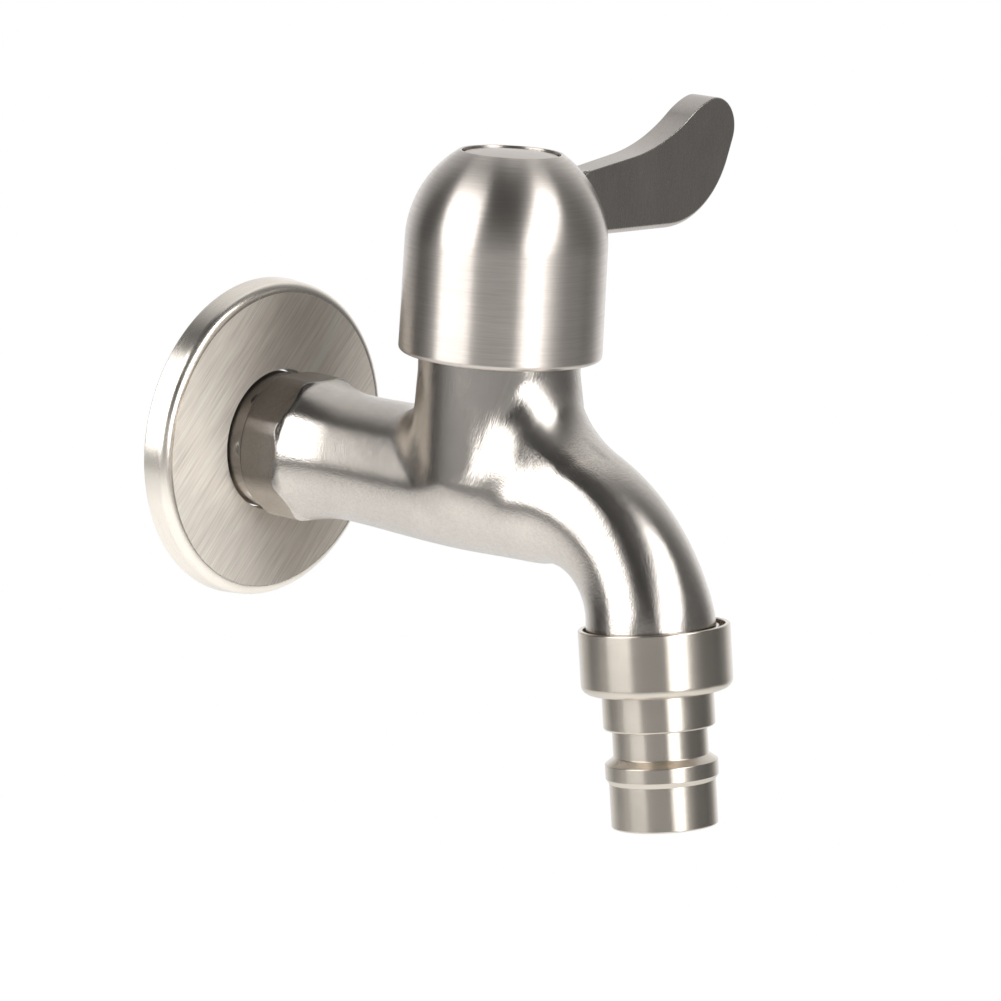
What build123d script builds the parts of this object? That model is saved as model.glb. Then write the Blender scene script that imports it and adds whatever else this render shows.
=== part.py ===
"""Wall tap with a domed lever handle and a stepped quick-connect nozzle, in millimetres.

The origin is where the inlet axis meets the wall. +X leads out of the wall along the inlet, +Z is up.
"""

import os
from math import acos, asin, cos, degrees, radians, sin, tan

from build123d import *

# Inlet: shank, collar and octagon, along X from the wall plane
thread_radius = 10.48  # G 1/2 male thread, 20.955 mm across its crests
shank_length = 15.0  # into the wall
shank_chamfer = 1.2
collar_start = 1.2
collar_radius = 11.75
octagon_start = 7.3
octagon_across_flats = 24.0
octagon_corner_radius = 12.85
octagon_edge = 1.1  # chamfer at its wall end
octagon_end = 15.0
inlet_bore_radius = 7.2
inlet_bore_end = 38.0

# Barrel and belly, round sections along X
waist_x = 25.0
waist_radius = 10.72
belly_radius = 11.5
belly_share = 0.65  # where the belly is, from the waist (0) to the start of the bend (1)

# Neck and cartridge seat, round the vertical bonnet axis
bonnet_x = 53.45
neck_radius = 13.3
neck_top = 27.0
neck_round_level = 6.0  # below this the neck rounds in under itself
neck_round_end = (9.0, -6.0)  # radius and level
neck_foot = (7.0, -8.5)  # radius and level, inside the barrel
neck_blend = 5.0
seat_level = 6.2
seat_hole_radius = 4.4
seat_passage_radius = 5.6
seat_passage_level = -2.2
chamber_radius = 9.4
chamber_height = 11.3
neck_thread_radius = 10.2

# Spout: a bend of one radius, round sections, then the threaded end on the nozzle axis
bend_start_x = 66.58
bend_start_rise = 0.826  # above the inlet axis
bend_radius = 22.0
bend_turn = 78.0
bend_start_radius = 11.3
bend_narrow_radius = 9.65
bend_narrow_turn = 45.0
bend_end_radius = 10.6
bend_into_nut = 0.9
outlet_offset = 0.685  # the nozzle axis starts so far in front of the bend's end
outlet_tilt = 8.63  # the nozzle axis leans forward from straight down
spout_thread_start = 0.5
spout_thread_end = 5.2
waterway_radius = 6.2
waterway_mouth_radius = 4.9
waterway_mouth = (59.0, 8.8, 20.0)  # x, z and downward slope where it leaves the chamber
waterway_middle = (66.0, 4.9, 32.0)
waterway_overrun = 0.5  # cut past the spout's end

# Wall flange, a pressed cover
flange_radius = 27.5
flange_depth = 4.8
flange_rounding = 1.9  # in from the rim to the flat face
flange_draft = 0.35
flange_shoulder = 1.6
flange_clearance = 0.35  # round the collar
flange_sheet = 0.8

# Union nut, sizes down the nozzle axis from its top edge
nut_radius = 12.28
nut_height = 10.4
nut_round = 1.5
nut_top_edge = 0.25
nut_mouth_radius = 11.5
nut_mouth_depth = 1.7
nut_lip_height = 1.7
thread_clearance = 0.05
running_clearance = 0.05

# Nozzle and its washer
washer_height = 2.0
washer_bore_radius = 6.6
nozzle_flange_height = 1.5
nozzle_flange_radius = 10.2
nozzle_collar_radius = 9.05
nozzle_collar_end = 16.3
nozzle_collar_edge = 0.35
nozzle_groove_radius = 7.7
nozzle_groove_end = 20.9
nozzle_ring_radius = 9.15
nozzle_ring_top = 21.95
nozzle_ring_end = 24.3
nozzle_tube_radius = 8.62
nozzle_tube_top = 25.1
nozzle_end = 32.4
nozzle_bore_radius = 6.5
nozzle_edge = 0.3

# Dome of the handle, levels on the bonnet axis
dome_bottom = 22.3
dome_top = 55.63
dome_rim_radius = 16.75
dome_shoulder_radius = 16.6
dome_arc_radius = 18.0  # from the shoulder up to the top
dome_top_radius = 8.5
dome_edge = 0.8
dome_wall = 2.0
dome_ceiling = 46.5
hub_radius = 8.2
hub_bottom = 38.4
insert_radius = 6.2
insert_height = 8.5
web_height = 1.9
screw_hole_radius = 2.2
screw_pocket_radius = 4.5
plug_pocket_radius = 8.1
plug_pocket_depth = 3.23

# Lever blade, a flat plate that points to +Y at rest; its outline is in Y and Z
lever_root_thickness = 4.0
lever_tip_thickness = 5.8
lever_root_y = 10.0
lever_tip_y = 55.8
lever_bottom = 40.6
lever_bottom_y = 39.3  # the bottom runs level as far as here
lever_arc_ends = ((54.3, 51.4), (55.5, 55.1), (48.5, 62.0), (43.7, 59.5), (28.9, 53.3))
lever_edge = 0.5
weld_gap = 0.02  # between the root and the dome

# Quarter-turn cartridge
housing_bottom = 8.0
housing_radius = 8.6
housing_thread_start = 18.0
housing_bore_radius = 7.3
housing_shoulder = 19.7
housing_gasket_height = 1.0
housing_flange_reach = 1.8  # past the thread
housing_flange_height = 1.2
hexagon_across_flats = 21.0
hexagon_height = 3.3
gland_radius = 7.0
gland_top = 37.0
window_width = 8.0
window_bottom = 13.6
window_top = 18.0
stem_radius = 4.9
stem_foot_radius = 7.0
stem_foot_bottom = 17.4
stem_foot_top = 19.0
stem_shoulder = 38.3
stem_top = 46.5
spline_radius = 3.95
spline_groove_radius = 0.35
spline_teeth = 20
spline_clearance = 0.05
oring_level = 24.5
oring_spacing = 4.5
oring_section = 0.51
oring_groove_radius = 3.9
oring_groove_height = 1.4
clip_level = 37.1
clip_height = 0.6
clip_groove_radius = 4.2
clip_radius = 6.0
clip_gap = 5.4
slip_washer_height = 0.6
slip_washer_radius = 6.8
fixed_disc_bottom = 9.6
fixed_disc_top = 12.95
disc_gap = 0.02
moving_disc_top = 16.4
disc_radius = 7.0
disc_port_radius = 5.4
disc_port_web = 1.2
disc_port_half_angle = 38.0
lug_width = 3.0
lug_reach = 8.4
lug_clearance = 0.1
drive_lug_length = 11.4
drive_lug_width = 2.4
drive_lug_bottom = 15.3
seal_radius = 7.1
seal_bore_radius = 4.9
seal_ring_radius = 4.3
seal_ring_height = 2.6

# Screw, spring washer and plug
screw_radius = 2.0
screw_length = 11.0
screw_head_radius = 3.8
screw_head_height = 2.4
screw_head_edge = 0.5
screw_drive_across = 2.5
screw_drive_depth = 1.4
screw_hole_spare = 0.5
spring_washer_height = 0.9
spring_washer_bore = 2.1
spring_washer_radius = 3.6
spring_washer_split = 0.8
plug_radius = 7.75
plug_clearance = 0.3  # over the floor of its pocket
plug_boss_radius = 7.0
plug_boss_height = 1.4
plug_head_height = 1.1
plug_crown = 0.6
plug_ring_section = 0.65

bonnet_side = Plane(origin=(bonnet_x, 0, 0), x_dir=(1, 0, 0), z_dir=(0, -1, 0))
bonnet_axis = Axis((bonnet_x, 0, 0), (0, 0, 1))
lever_side = Plane(origin=(bonnet_x, 0, 0), x_dir=(0, 1, 0), z_dir=(1, 0, 0))

bend_centre_z = bend_start_rise - bend_radius
bend_end_x = bend_start_x + bend_radius * sin(radians(bend_turn))
bend_end_z = bend_centre_z + bend_radius * cos(radians(bend_turn))

tilt = radians(outlet_tilt)
outlet_point = Vector(bend_end_x + outlet_offset, 0, bend_end_z)
outlet_down = Vector(sin(tilt), 0, -cos(tilt))
outlet_side = Plane(origin=outlet_point, x_dir=(cos(tilt), 0, sin(tilt)), z_dir=(0, 1, 0))
outlet_axis = Axis(outlet_point, outlet_down)

dome_centre = dome_shoulder_radius - dome_arc_radius
dome_arc_angle = degrees(acos((dome_top_radius - dome_centre) / dome_arc_radius))
dome_shoulder_level = dome_top - dome_arc_radius * sin(radians(dome_arc_angle))
inner_arc_radius = dome_arc_radius - dome_wall
inner_arc_angle = degrees(asin((dome_ceiling - dome_shoulder_level) / inner_arc_radius))
plug_pocket_floor = dome_top - plug_pocket_depth
plug_bottom = plug_pocket_floor + plug_clearance
plug_head_bottom = plug_bottom + plug_boss_height
plug_edge_level = plug_head_bottom + plug_head_height
plug_ring_level = plug_bottom + plug_boss_height / 2

insert_top = hub_bottom + insert_height
web_top = insert_top + web_height
housing_flange_radius = neck_thread_radius + housing_flange_reach
hexagon_bottom = neck_top + housing_gasket_height + housing_flange_height
lip_top = nut_height - nut_lip_height
screw_seat = web_top + spring_washer_height
oring_levels = (oring_level, oring_level + oring_spacing)


def around(height=0.0):
    """A level plane on the bonnet axis."""
    return Plane(origin=(bonnet_x, 0, height))


def outlet_plane(distance):
    """A plane square to the nozzle axis, so far down it from the nut's top edge."""
    return Plane(origin=outlet_point + outlet_down * distance, x_dir=(0, 1, 0), z_dir=outlet_down)


def section_plane(x, z, slope):
    """A plane square to a line that runs forward and down by so many degrees."""
    a = radians(slope)
    return Plane(origin=(x, 0, z), x_dir=(0, 1, 0), z_dir=(cos(a), 0, -sin(a)))


def bend_plane(turn):
    """The plane square to the spout after it has turned down by so many degrees."""
    a = radians(turn)
    return section_plane(bend_start_x + bend_radius * sin(a), bend_centre_z + bend_radius * cos(a), turn)


def bend_section_radius(turn):
    """The spout narrows towards the middle of its bend and widens again."""
    if turn < bend_narrow_turn:
        share = (bend_narrow_turn - turn) / bend_narrow_turn
        return bend_narrow_radius + (bend_start_radius - bend_narrow_radius) * share**2
    share = (turn - bend_narrow_turn) / (bend_turn - bend_narrow_turn)
    return bend_narrow_radius + (bend_end_radius - bend_narrow_radius) * share**2


def barrel_plane(share):
    """A section plane of the barrel, from its waist (0) to the start of the bend (1)."""
    x = waist_x + (bend_start_x - waist_x) * share
    return section_plane(x, (bend_centre_z + bend_radius) * share**3, 0)


def barrel_section_radius(share):
    """The barrel swells from the waist to the belly under the neck."""
    if share < belly_share:
        s = share / belly_share
        return waist_radius + (belly_radius - waist_radius) * s * s * (3 - 2 * s)
    s = (share - belly_share) / (1 - belly_share)
    return belly_radius + (bend_start_radius - belly_radius) * s


def disc_ports(turn):
    """Two opposite ports, added to the open sketch."""
    spread = disc_port_radius * tan(radians(disc_port_half_angle))
    with PolarLocations(disc_port_web, 2, start_angle=turn):
        Polygon((0, 0), (disc_port_radius, -spread), (disc_port_radius, spread), align=None)
    Circle(disc_port_radius, mode=Mode.INTERSECT)


def ring(bottom, height, outer, inner):
    """A plain ring round the bonnet axis, added to the open part."""
    with BuildSketch(around(bottom)) as outline:
        Circle(outer)
        Circle(inner, mode=Mode.SUBTRACT)
    extrude(outline.sketch, amount=height)


# Octagon for a spanner, running out into the round barrel
with BuildPart() as octagon:
    with BuildSketch(Plane.XZ):
        with BuildLine():
            middle = ((octagon_end + waist_x) / 2, (octagon_corner_radius + waist_radius) / 2)
            Polyline(
                (waist_x, 0),
                (octagon_start, 0),
                (octagon_start, octagon_corner_radius - octagon_edge),
                (octagon_start + octagon_edge, octagon_corner_radius),
                (octagon_end, octagon_corner_radius),
            )
            TangentArc((octagon_end, octagon_corner_radius), middle, tangent=(1, 0))
            TangentArc((waist_x, waist_radius), middle, tangent=(-1, 0))
            Line((waist_x, waist_radius), (waist_x, 0))
        make_face()
    revolve(axis=Axis.X)
    with BuildSketch(Plane.YZ):
        RegularPolygon(octagon_across_flats / 2, 8, major_radius=False, rotation=22.5)
    extrude(amount=waist_x, mode=Mode.INTERSECT)

# Body: one casting
with BuildPart() as tap_body:
    # Barrel, belly and spout: one skin through round sections
    for share in (0, 0.08, 0.3, 0.5, belly_share, 0.82, 1):
        with BuildSketch(barrel_plane(share)):
            Circle(barrel_section_radius(share))
    for turn in (12, 24, 36, 48, 60, 70, bend_turn):
        with BuildSketch(bend_plane(turn)):
            Circle(bend_section_radius(turn))
    loft()

    # Neck, rounded in below and closed inside the barrel, and blended into it
    with BuildSketch(bonnet_side):
        with BuildLine():
            wall = Line((neck_radius, neck_top), (neck_radius, neck_round_level))
            TangentArc(wall @ 1, neck_round_end, tangent=wall % 1)
            Polyline(neck_round_end, neck_foot, (0, neck_foot[1]), (0, neck_top), wall @ 0)
        make_face()
    revolve(axis=bonnet_axis)
    fillet(tap_body.edges(Select.NEW), neck_blend)

    # Octagon, collar and shank
    add(octagon.part)
    with BuildSketch(Plane.YZ.offset(-shank_length)):
        Circle(thread_radius)
    extrude(amount=shank_length + collar_start)
    chamfer(tap_body.edges().group_by(Axis.X)[0], shank_chamfer)
    with BuildSketch(Plane.YZ.offset(collar_start)):
        Circle(collar_radius)
    extrude(amount=octagon_start - collar_start)

    # Spout's end inside the mouth of the nut, then its thread on the nozzle axis
    with BuildSketch(bend_plane(bend_turn)):
        Circle(bend_end_radius)
    extrude(amount=bend_into_nut)
    with BuildSketch(outlet_plane(spout_thread_start)):
        Circle(thread_radius)
    extrude(amount=spout_thread_end - spout_thread_start)

    # Inlet bore, and the passage that rises into the seat
    with BuildSketch(Plane.YZ.offset(-shank_length)):
        Circle(inlet_bore_radius)
    extrude(amount=shank_length + inlet_bore_end, mode=Mode.SUBTRACT)
    with BuildSketch(section_plane(inlet_bore_end, seat_passage_level, 0)):
        Circle(seat_passage_radius)
    extrude(amount=bonnet_x - inlet_bore_end + seat_hole_radius, mode=Mode.SUBTRACT)
    with BuildSketch(around(seat_passage_level)):
        Circle(seat_hole_radius)
    extrude(amount=seat_level - seat_passage_level, mode=Mode.SUBTRACT)

    # Chamber round the cartridge, and its thread above
    with BuildSketch(around(seat_level)):
        Circle(chamber_radius)
    extrude(amount=chamber_height, mode=Mode.SUBTRACT)
    with BuildSketch(around(seat_level + chamber_height)):
        Circle(neck_thread_radius)
    extrude(amount=neck_top - seat_level - chamber_height, mode=Mode.SUBTRACT)

    # Waterway from the chamber down the spout
    with BuildSketch(section_plane(*waterway_mouth)):
        Circle(waterway_mouth_radius)
    with BuildSketch(section_plane(*waterway_middle)):
        Circle((waterway_mouth_radius + waterway_radius) / 2)
    for turn in (40, 56):
        with BuildSketch(bend_plane(turn)):
            Circle(waterway_radius)
    for distance in (spout_thread_start, spout_thread_end + waterway_overrun):
        with BuildSketch(outlet_plane(distance)):
            Circle(waterway_radius)
    loft(mode=Mode.SUBTRACT)

# Wall flange: a pressed cup with a hole that the collar passes through
with BuildPart() as wall_flange:
    with BuildSketch(Plane.XZ):
        shoulder_x = flange_depth - flange_shoulder
        shoulder_radius = flange_radius - flange_draft
        flange_face_radius = flange_radius - flange_rounding
        flange_hole_radius = collar_radius + flange_clearance
        with BuildLine():
            Line((0, flange_radius), (shoulder_x, shoulder_radius))
            TangentArc(
                (shoulder_x, shoulder_radius),
                (flange_depth, flange_face_radius),
                tangent=(shoulder_x, -flange_draft),
            )
            Polyline(
                (flange_depth, flange_face_radius),
                (flange_depth, flange_hole_radius),
                (flange_depth - flange_sheet, flange_hole_radius),
                (flange_depth - flange_sheet, flange_face_radius),
            )
            TangentArc(
                (shoulder_x, shoulder_radius - flange_sheet),
                (flange_depth - flange_sheet, flange_face_radius),
                tangent=(shoulder_x, -flange_draft),
            )
            Polyline(
                (shoulder_x, shoulder_radius - flange_sheet),
                (0, flange_radius - flange_sheet),
                (0, flange_radius),
            )
        make_face()
    revolve(axis=Axis.X)

# Union nut
with BuildPart() as spout_nut:
    with BuildSketch(outlet_side):
        with BuildLine():
            lip_radius = nozzle_collar_radius + running_clearance
            nut_thread_radius = thread_radius + thread_clearance
            Polyline(
                (nut_mouth_radius, 0),
                (nut_radius, 0),
                (nut_radius, nut_height),
                (lip_radius, nut_height),
                (lip_radius, lip_top),
                (nut_thread_radius, lip_top),
                (nut_thread_radius, nut_mouth_depth),
                (nut_mouth_radius, nut_mouth_depth),
                close=True,
            )
        make_face()
    revolve(axis=outlet_axis)
    rims = spout_nut.edges().filter_by(GeomType.CIRCLE).sort_by(SortBy.RADIUS)[-2:]
    fillet(rims.sort_by(Axis.Z)[0], nut_round)
    chamfer(rims.sort_by(Axis.Z)[1], nut_top_edge)

# Flat washer between the spout's end and the nozzle
with BuildPart() as nozzle_gasket:
    with BuildSketch(outlet_plane(spout_thread_end)):
        Circle(nozzle_flange_radius)
        Circle(washer_bore_radius, mode=Mode.SUBTRACT)
    extrude(amount=washer_height)

# Nozzle: flange inside the nut, collar, groove for the hose connector's catch, ring and tube
with BuildPart() as hose_nozzle:
    with BuildSketch(outlet_side):
        with BuildLine():
            Polyline(
                (nozzle_bore_radius, lip_top - nozzle_flange_height),
                (nozzle_flange_radius, lip_top - nozzle_flange_height),
                (nozzle_flange_radius, lip_top),
                (nozzle_collar_radius, lip_top),
                (nozzle_collar_radius, nozzle_collar_end - nozzle_collar_edge),
                (nozzle_collar_radius - nozzle_collar_edge, nozzle_collar_end),
                (nozzle_groove_radius, nozzle_collar_end),
                (nozzle_groove_radius, nozzle_groove_end),
                (nozzle_ring_radius, nozzle_ring_top),
                (nozzle_ring_radius, nozzle_ring_end),
                (nozzle_tube_radius, nozzle_tube_top),
                (nozzle_tube_radius, nozzle_end - nozzle_edge),
                (nozzle_tube_radius - nozzle_edge, nozzle_end),
                (nozzle_bore_radius + nozzle_edge, nozzle_end),
                (nozzle_bore_radius, nozzle_end - nozzle_edge),
                close=True,
            )
        make_face()
    revolve(axis=outlet_axis)

# Dome: a thick shell with a hub for the spline insert and pockets for the screw and the plug
with BuildPart() as handle_dome:
    with BuildSketch(bonnet_side):
        with BuildLine():
            Line((dome_rim_radius, dome_bottom), (dome_shoulder_radius, dome_shoulder_level))
            CenterArc((dome_centre, dome_shoulder_level), dome_arc_radius, 0, dome_arc_angle)
            inner_arc = CenterArc(
                (dome_centre, dome_shoulder_level), inner_arc_radius, 0, inner_arc_angle
            )
            Polyline(
                (dome_top_radius, dome_top),
                (plug_pocket_radius, dome_top),
                (plug_pocket_radius, plug_pocket_floor),
                (screw_pocket_radius, plug_pocket_floor),
                (screw_pocket_radius, web_top),
                (screw_hole_radius, web_top),
                (screw_hole_radius, insert_top),
                (insert_radius, insert_top),
                (insert_radius, hub_bottom),
                (hub_radius, hub_bottom),
                (hub_radius, dome_ceiling),
                inner_arc @ 1,
            )
            Polyline(
                inner_arc @ 0,
                (dome_rim_radius - dome_wall, dome_bottom),
                (dome_rim_radius, dome_bottom),
            )
        make_face()
    revolve(axis=bonnet_axis)
    bottom_rims = handle_dome.edges().group_by(Axis.Z)[0]
    fillet(bottom_rims.sort_by(SortBy.RADIUS)[-1], dome_edge)

# Lever blade: thicker towards its tip, its root cut to the dome
with BuildPart() as lever_blade:
    with BuildSketch(lever_side.offset(-lever_tip_thickness)):
        with BuildLine():
            edge = Line((lever_root_y, lever_bottom), (lever_bottom_y, lever_bottom))
            for arc_end in lever_arc_ends:
                edge = TangentArc(edge @ 1, arc_end, tangent=edge % 1)
            slope = edge % 1
            root_top = edge @ 1 + slope * ((lever_root_y - arc_end[0]) / slope.X)
            Polyline(edge @ 1, root_top, (lever_root_y, lever_bottom))
        make_face()
    extrude(amount=2 * lever_tip_thickness)
    with BuildSketch(around(lever_bottom - lever_edge)):
        Polygon(
            (-lever_root_thickness / 2, lever_root_y),
            (lever_root_thickness / 2, lever_root_y),
            (lever_tip_thickness / 2, lever_tip_y + lever_edge),
            (-lever_tip_thickness / 2, lever_tip_y + lever_edge),
            align=None,
        )
    extrude(amount=lever_tip_y, mode=Mode.INTERSECT)
    sides = lever_blade.faces().sort_by(SortBy.AREA)[-2:]
    outline = sides.edges().filter_by(lambda edge: edge.center().Y > lever_root_y + lever_edge)
    fillet(outline, lever_edge)
    with BuildSketch(bonnet_side):
        with BuildLine():
            shoulder = (dome_shoulder_radius + weld_gap, dome_shoulder_level)
            rim = (dome_rim_radius + weld_gap, dome_bottom)
            Line(rim, shoulder)
            crown = CenterArc(
                (dome_centre, dome_shoulder_level), dome_arc_radius + weld_gap, 0, dome_arc_angle
            )
            Polyline(crown @ 1, (0, dome_top), (0, dome_bottom), rim)
        make_face()
    revolve(axis=bonnet_axis, mode=Mode.SUBTRACT)

# Cartridge housing: bore for the discs, thread, flange, hexagon and gland
with BuildPart() as cartridge_housing:
    with BuildSketch(bonnet_side):
        with BuildLine():
            stem_bore = stem_radius + running_clearance
            flange_bottom = neck_top + housing_gasket_height
            Polyline(
                (housing_bore_radius, housing_bottom),
                (housing_radius, housing_bottom),
                (housing_radius, housing_thread_start),
                (neck_thread_radius, housing_thread_start),
                (neck_thread_radius, flange_bottom),
                (housing_flange_radius, flange_bottom),
                (housing_flange_radius, hexagon_bottom),
                (gland_radius, hexagon_bottom),
                (gland_radius, gland_top),
                (stem_bore, gland_top),
                (stem_bore, housing_shoulder),
                (housing_bore_radius, housing_shoulder),
                close=True,
            )
        make_face()
    revolve(axis=bonnet_axis)
    with BuildSketch(around(hexagon_bottom)):
        RegularPolygon(hexagon_across_flats / 2, 6, major_radius=False)
        Circle(gland_radius - lug_clearance, mode=Mode.SUBTRACT)
    extrude(amount=hexagon_height)
    with BuildSketch(around(window_bottom)):
        Rectangle(window_width, 4 * housing_radius)
        Circle(housing_bore_radius - lug_clearance, mode=Mode.SUBTRACT)
    extrude(amount=window_top - window_bottom, mode=Mode.SUBTRACT)
    with BuildSketch(around(housing_bottom)):
        Rectangle(4 * housing_radius, lug_width + 2 * lug_clearance)
        Circle(housing_bore_radius - lug_clearance, mode=Mode.SUBTRACT)
    extrude(amount=fixed_disc_top - housing_bottom, mode=Mode.SUBTRACT)

with BuildPart() as housing_gasket:
    ring(neck_top, housing_gasket_height, housing_flange_radius, neck_thread_radius)

# Stem: drive foot, two seal grooves, clip groove, spline and tapped hole
with BuildPart() as cartridge_stem:
    with BuildSketch(bonnet_side):
        with BuildLine():
            Polyline(
                (0, stem_foot_bottom),
                (stem_foot_radius, stem_foot_bottom),
                (stem_foot_radius, stem_foot_top),
                (stem_radius, stem_foot_top),
                (stem_radius, stem_shoulder),
                (spline_radius, stem_shoulder),
                (spline_radius, stem_top),
                (0, stem_top),
                close=True,
            )
        make_face()
    revolve(axis=bonnet_axis)
    for level in oring_levels:
        with BuildSketch(around(level - oring_groove_height / 2)):
            Circle(stem_radius)
            Circle(oring_groove_radius, mode=Mode.SUBTRACT)
        extrude(amount=oring_groove_height, mode=Mode.SUBTRACT)
    with BuildSketch(around(clip_level)):
        Circle(stem_radius)
        Circle(clip_groove_radius, mode=Mode.SUBTRACT)
    extrude(amount=clip_height, mode=Mode.SUBTRACT)
    with BuildSketch(around(stem_shoulder)):
        with PolarLocations(spline_radius, spline_teeth):
            Circle(spline_groove_radius)
    extrude(amount=stem_top - stem_shoulder, mode=Mode.SUBTRACT)
    with BuildSketch(around(stem_foot_bottom)):
        Rectangle(drive_lug_width, drive_lug_length)
    extrude(amount=drive_lug_bottom - stem_foot_bottom)
    with BuildSketch(around(stem_top)):
        Circle(screw_radius)
    extrude(amount=screw_seat - screw_length - screw_hole_spare - stem_top, mode=Mode.SUBTRACT)

with BuildPart() as stem_orings:
    with BuildSketch(bonnet_side):
        for level in oring_levels:
            with Locations((oring_groove_radius + oring_section, level)):
                Circle(oring_section)
    revolve(axis=bonnet_axis)

with BuildPart() as slip_washer:
    slip_washer_bottom = housing_shoulder - slip_washer_height
    ring(slip_washer_bottom, slip_washer_height, slip_washer_radius, stem_radius + running_clearance)

# Open ring in the stem's groove, above the gland
with BuildPart() as stem_clip:
    with BuildSketch(around(clip_level)):
        Circle(clip_radius)
        Circle(clip_groove_radius, mode=Mode.SUBTRACT)
        with Locations((0, -clip_radius)):
            Rectangle(clip_gap, 2 * clip_radius, mode=Mode.SUBTRACT)
    extrude(amount=clip_height)

# Ceramic discs: at rest the ports of one lie across those of the other
with BuildPart() as fixed_disc:
    with BuildSketch(around(fixed_disc_bottom)):
        Circle(disc_radius)
        Rectangle(2 * lug_reach, lug_width)
    extrude(amount=fixed_disc_top - fixed_disc_bottom)
    with BuildSketch(around(fixed_disc_bottom)):
        disc_ports(0)
    extrude(amount=fixed_disc_top - fixed_disc_bottom, mode=Mode.SUBTRACT)

with BuildPart() as moving_disc:
    moving_disc_bottom = fixed_disc_top + disc_gap
    with BuildSketch(around(moving_disc_bottom)):
        Circle(disc_radius)
    extrude(amount=moving_disc_top - moving_disc_bottom)
    with BuildSketch(around(moving_disc_bottom)):
        disc_ports(90)
    extrude(amount=moving_disc_top - moving_disc_bottom, mode=Mode.SUBTRACT)
    with BuildSketch(around(drive_lug_bottom - lug_clearance)):
        Rectangle(drive_lug_width + 2 * lug_clearance, drive_lug_length + 2 * lug_clearance)
    extrude(amount=moving_disc_top - drive_lug_bottom + lug_clearance, mode=Mode.SUBTRACT)

with BuildPart() as seat_seal:
    ring(seat_level, fixed_disc_bottom - seat_level, seal_radius, seal_bore_radius)

with BuildPart() as seat_ring:
    ring(seat_level + lug_clearance, seal_ring_height, seal_bore_radius, seal_ring_radius)

# Brass insert in the hub, with the inner spline
with BuildPart() as spline_insert:
    with BuildSketch(around(hub_bottom)):
        Circle(insert_radius)
        Circle(spline_radius + spline_clearance, mode=Mode.SUBTRACT)
        with PolarLocations(spline_radius + spline_clearance, spline_teeth):
            Circle(spline_groove_radius - 2 * spline_clearance)
    extrude(amount=insert_height)

# Screw with a six-sided drive, its split washer, and the plug above them
with BuildPart() as handle_screw:
    with BuildSketch(around(screw_seat)):
        Circle(screw_radius)
    extrude(amount=-screw_length)
    with BuildSketch(around(screw_seat)):
        Circle(screw_head_radius)
    extrude(amount=screw_head_height)
    chamfer(handle_screw.edges().group_by(Axis.Z)[-1], screw_head_edge)
    with BuildSketch(around(screw_seat + screw_head_height)):
        RegularPolygon(screw_drive_across / 2, 6, major_radius=False)
    extrude(amount=-screw_drive_depth, mode=Mode.SUBTRACT)

with BuildPart() as spring_washer:
    with BuildSketch(around(web_top)):
        Circle(spring_washer_radius)
        Circle(spring_washer_bore, mode=Mode.SUBTRACT)
        with Locations((spring_washer_radius, 0)):
            Rectangle(2 * spring_washer_radius, spring_washer_split, mode=Mode.SUBTRACT)
    extrude(amount=spring_washer_height)

with BuildPart() as cap_plug:
    with BuildSketch(bonnet_side):
        with BuildLine():
            groove_radius = plug_pocket_radius - 2 * plug_ring_section
            Polyline(
                (0, plug_edge_level + plug_crown),
                (0, plug_bottom),
                (plug_boss_radius, plug_bottom),
                (plug_boss_radius, plug_ring_level - plug_ring_section),
                (groove_radius, plug_ring_level - plug_ring_section),
                (groove_radius, plug_ring_level + plug_ring_section),
                (plug_boss_radius, plug_ring_level + plug_ring_section),
                (plug_boss_radius, plug_head_bottom),
                (plug_radius, plug_head_bottom),
                (plug_radius, plug_edge_level),
            )
            TangentArc(
                (0, plug_edge_level + plug_crown), (plug_radius, plug_edge_level), tangent=(1, 0)
            )
        make_face()
    revolve(axis=bonnet_axis)

with BuildPart() as plug_ring:
    with BuildSketch(bonnet_side):
        with Locations((plug_pocket_radius - plug_ring_section, plug_ring_level)):
            Circle(plug_ring_section)
    revolve(axis=bonnet_axis)

pieces = {
    "tap_body": tap_body,
    "wall_flange": wall_flange,
    "spout_nut": spout_nut,
    "nozzle_gasket": nozzle_gasket,
    "hose_nozzle": hose_nozzle,
    "handle_dome": handle_dome,
    "lever_blade": lever_blade,
    "spline_insert": spline_insert,
    "handle_screw": handle_screw,
    "spring_washer": spring_washer,
    "cap_plug": cap_plug,
    "plug_ring": plug_ring,
    "cartridge_housing": cartridge_housing,
    "housing_gasket": housing_gasket,
    "cartridge_stem": cartridge_stem,
    "stem_orings": stem_orings,
    "slip_washer": slip_washer,
    "stem_clip": stem_clip,
    "moving_disc": moving_disc,
    "fixed_disc": fixed_disc,
    "seat_seal": seat_seal,
    "seat_ring": seat_ring,
}
os.makedirs("parts", exist_ok=True)
for name, piece in pieces.items():
    piece.part.label = name
    export_step(piece.part, f"parts/{name}.step")
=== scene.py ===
"""A wall tap of brushed stainless steel, built round its solids in metres.

+X leads out of the wall along the inlet, +Z is up, and the lever points to +Y when the tap is closed.
"""

from math import acos, asin, atan2, ceil, cos, degrees, pi, radians, sin, sqrt, tan

import bmesh
import bpy
from bpy.props import FloatProperty, FloatVectorProperty, PointerProperty
from bpy.types import NodeSocket, Operator, Panel, PropertyGroup
from mathutils import Euler, Matrix, Vector
from mathutils.geometry import tessellate_polygon
import numpy as np


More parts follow.
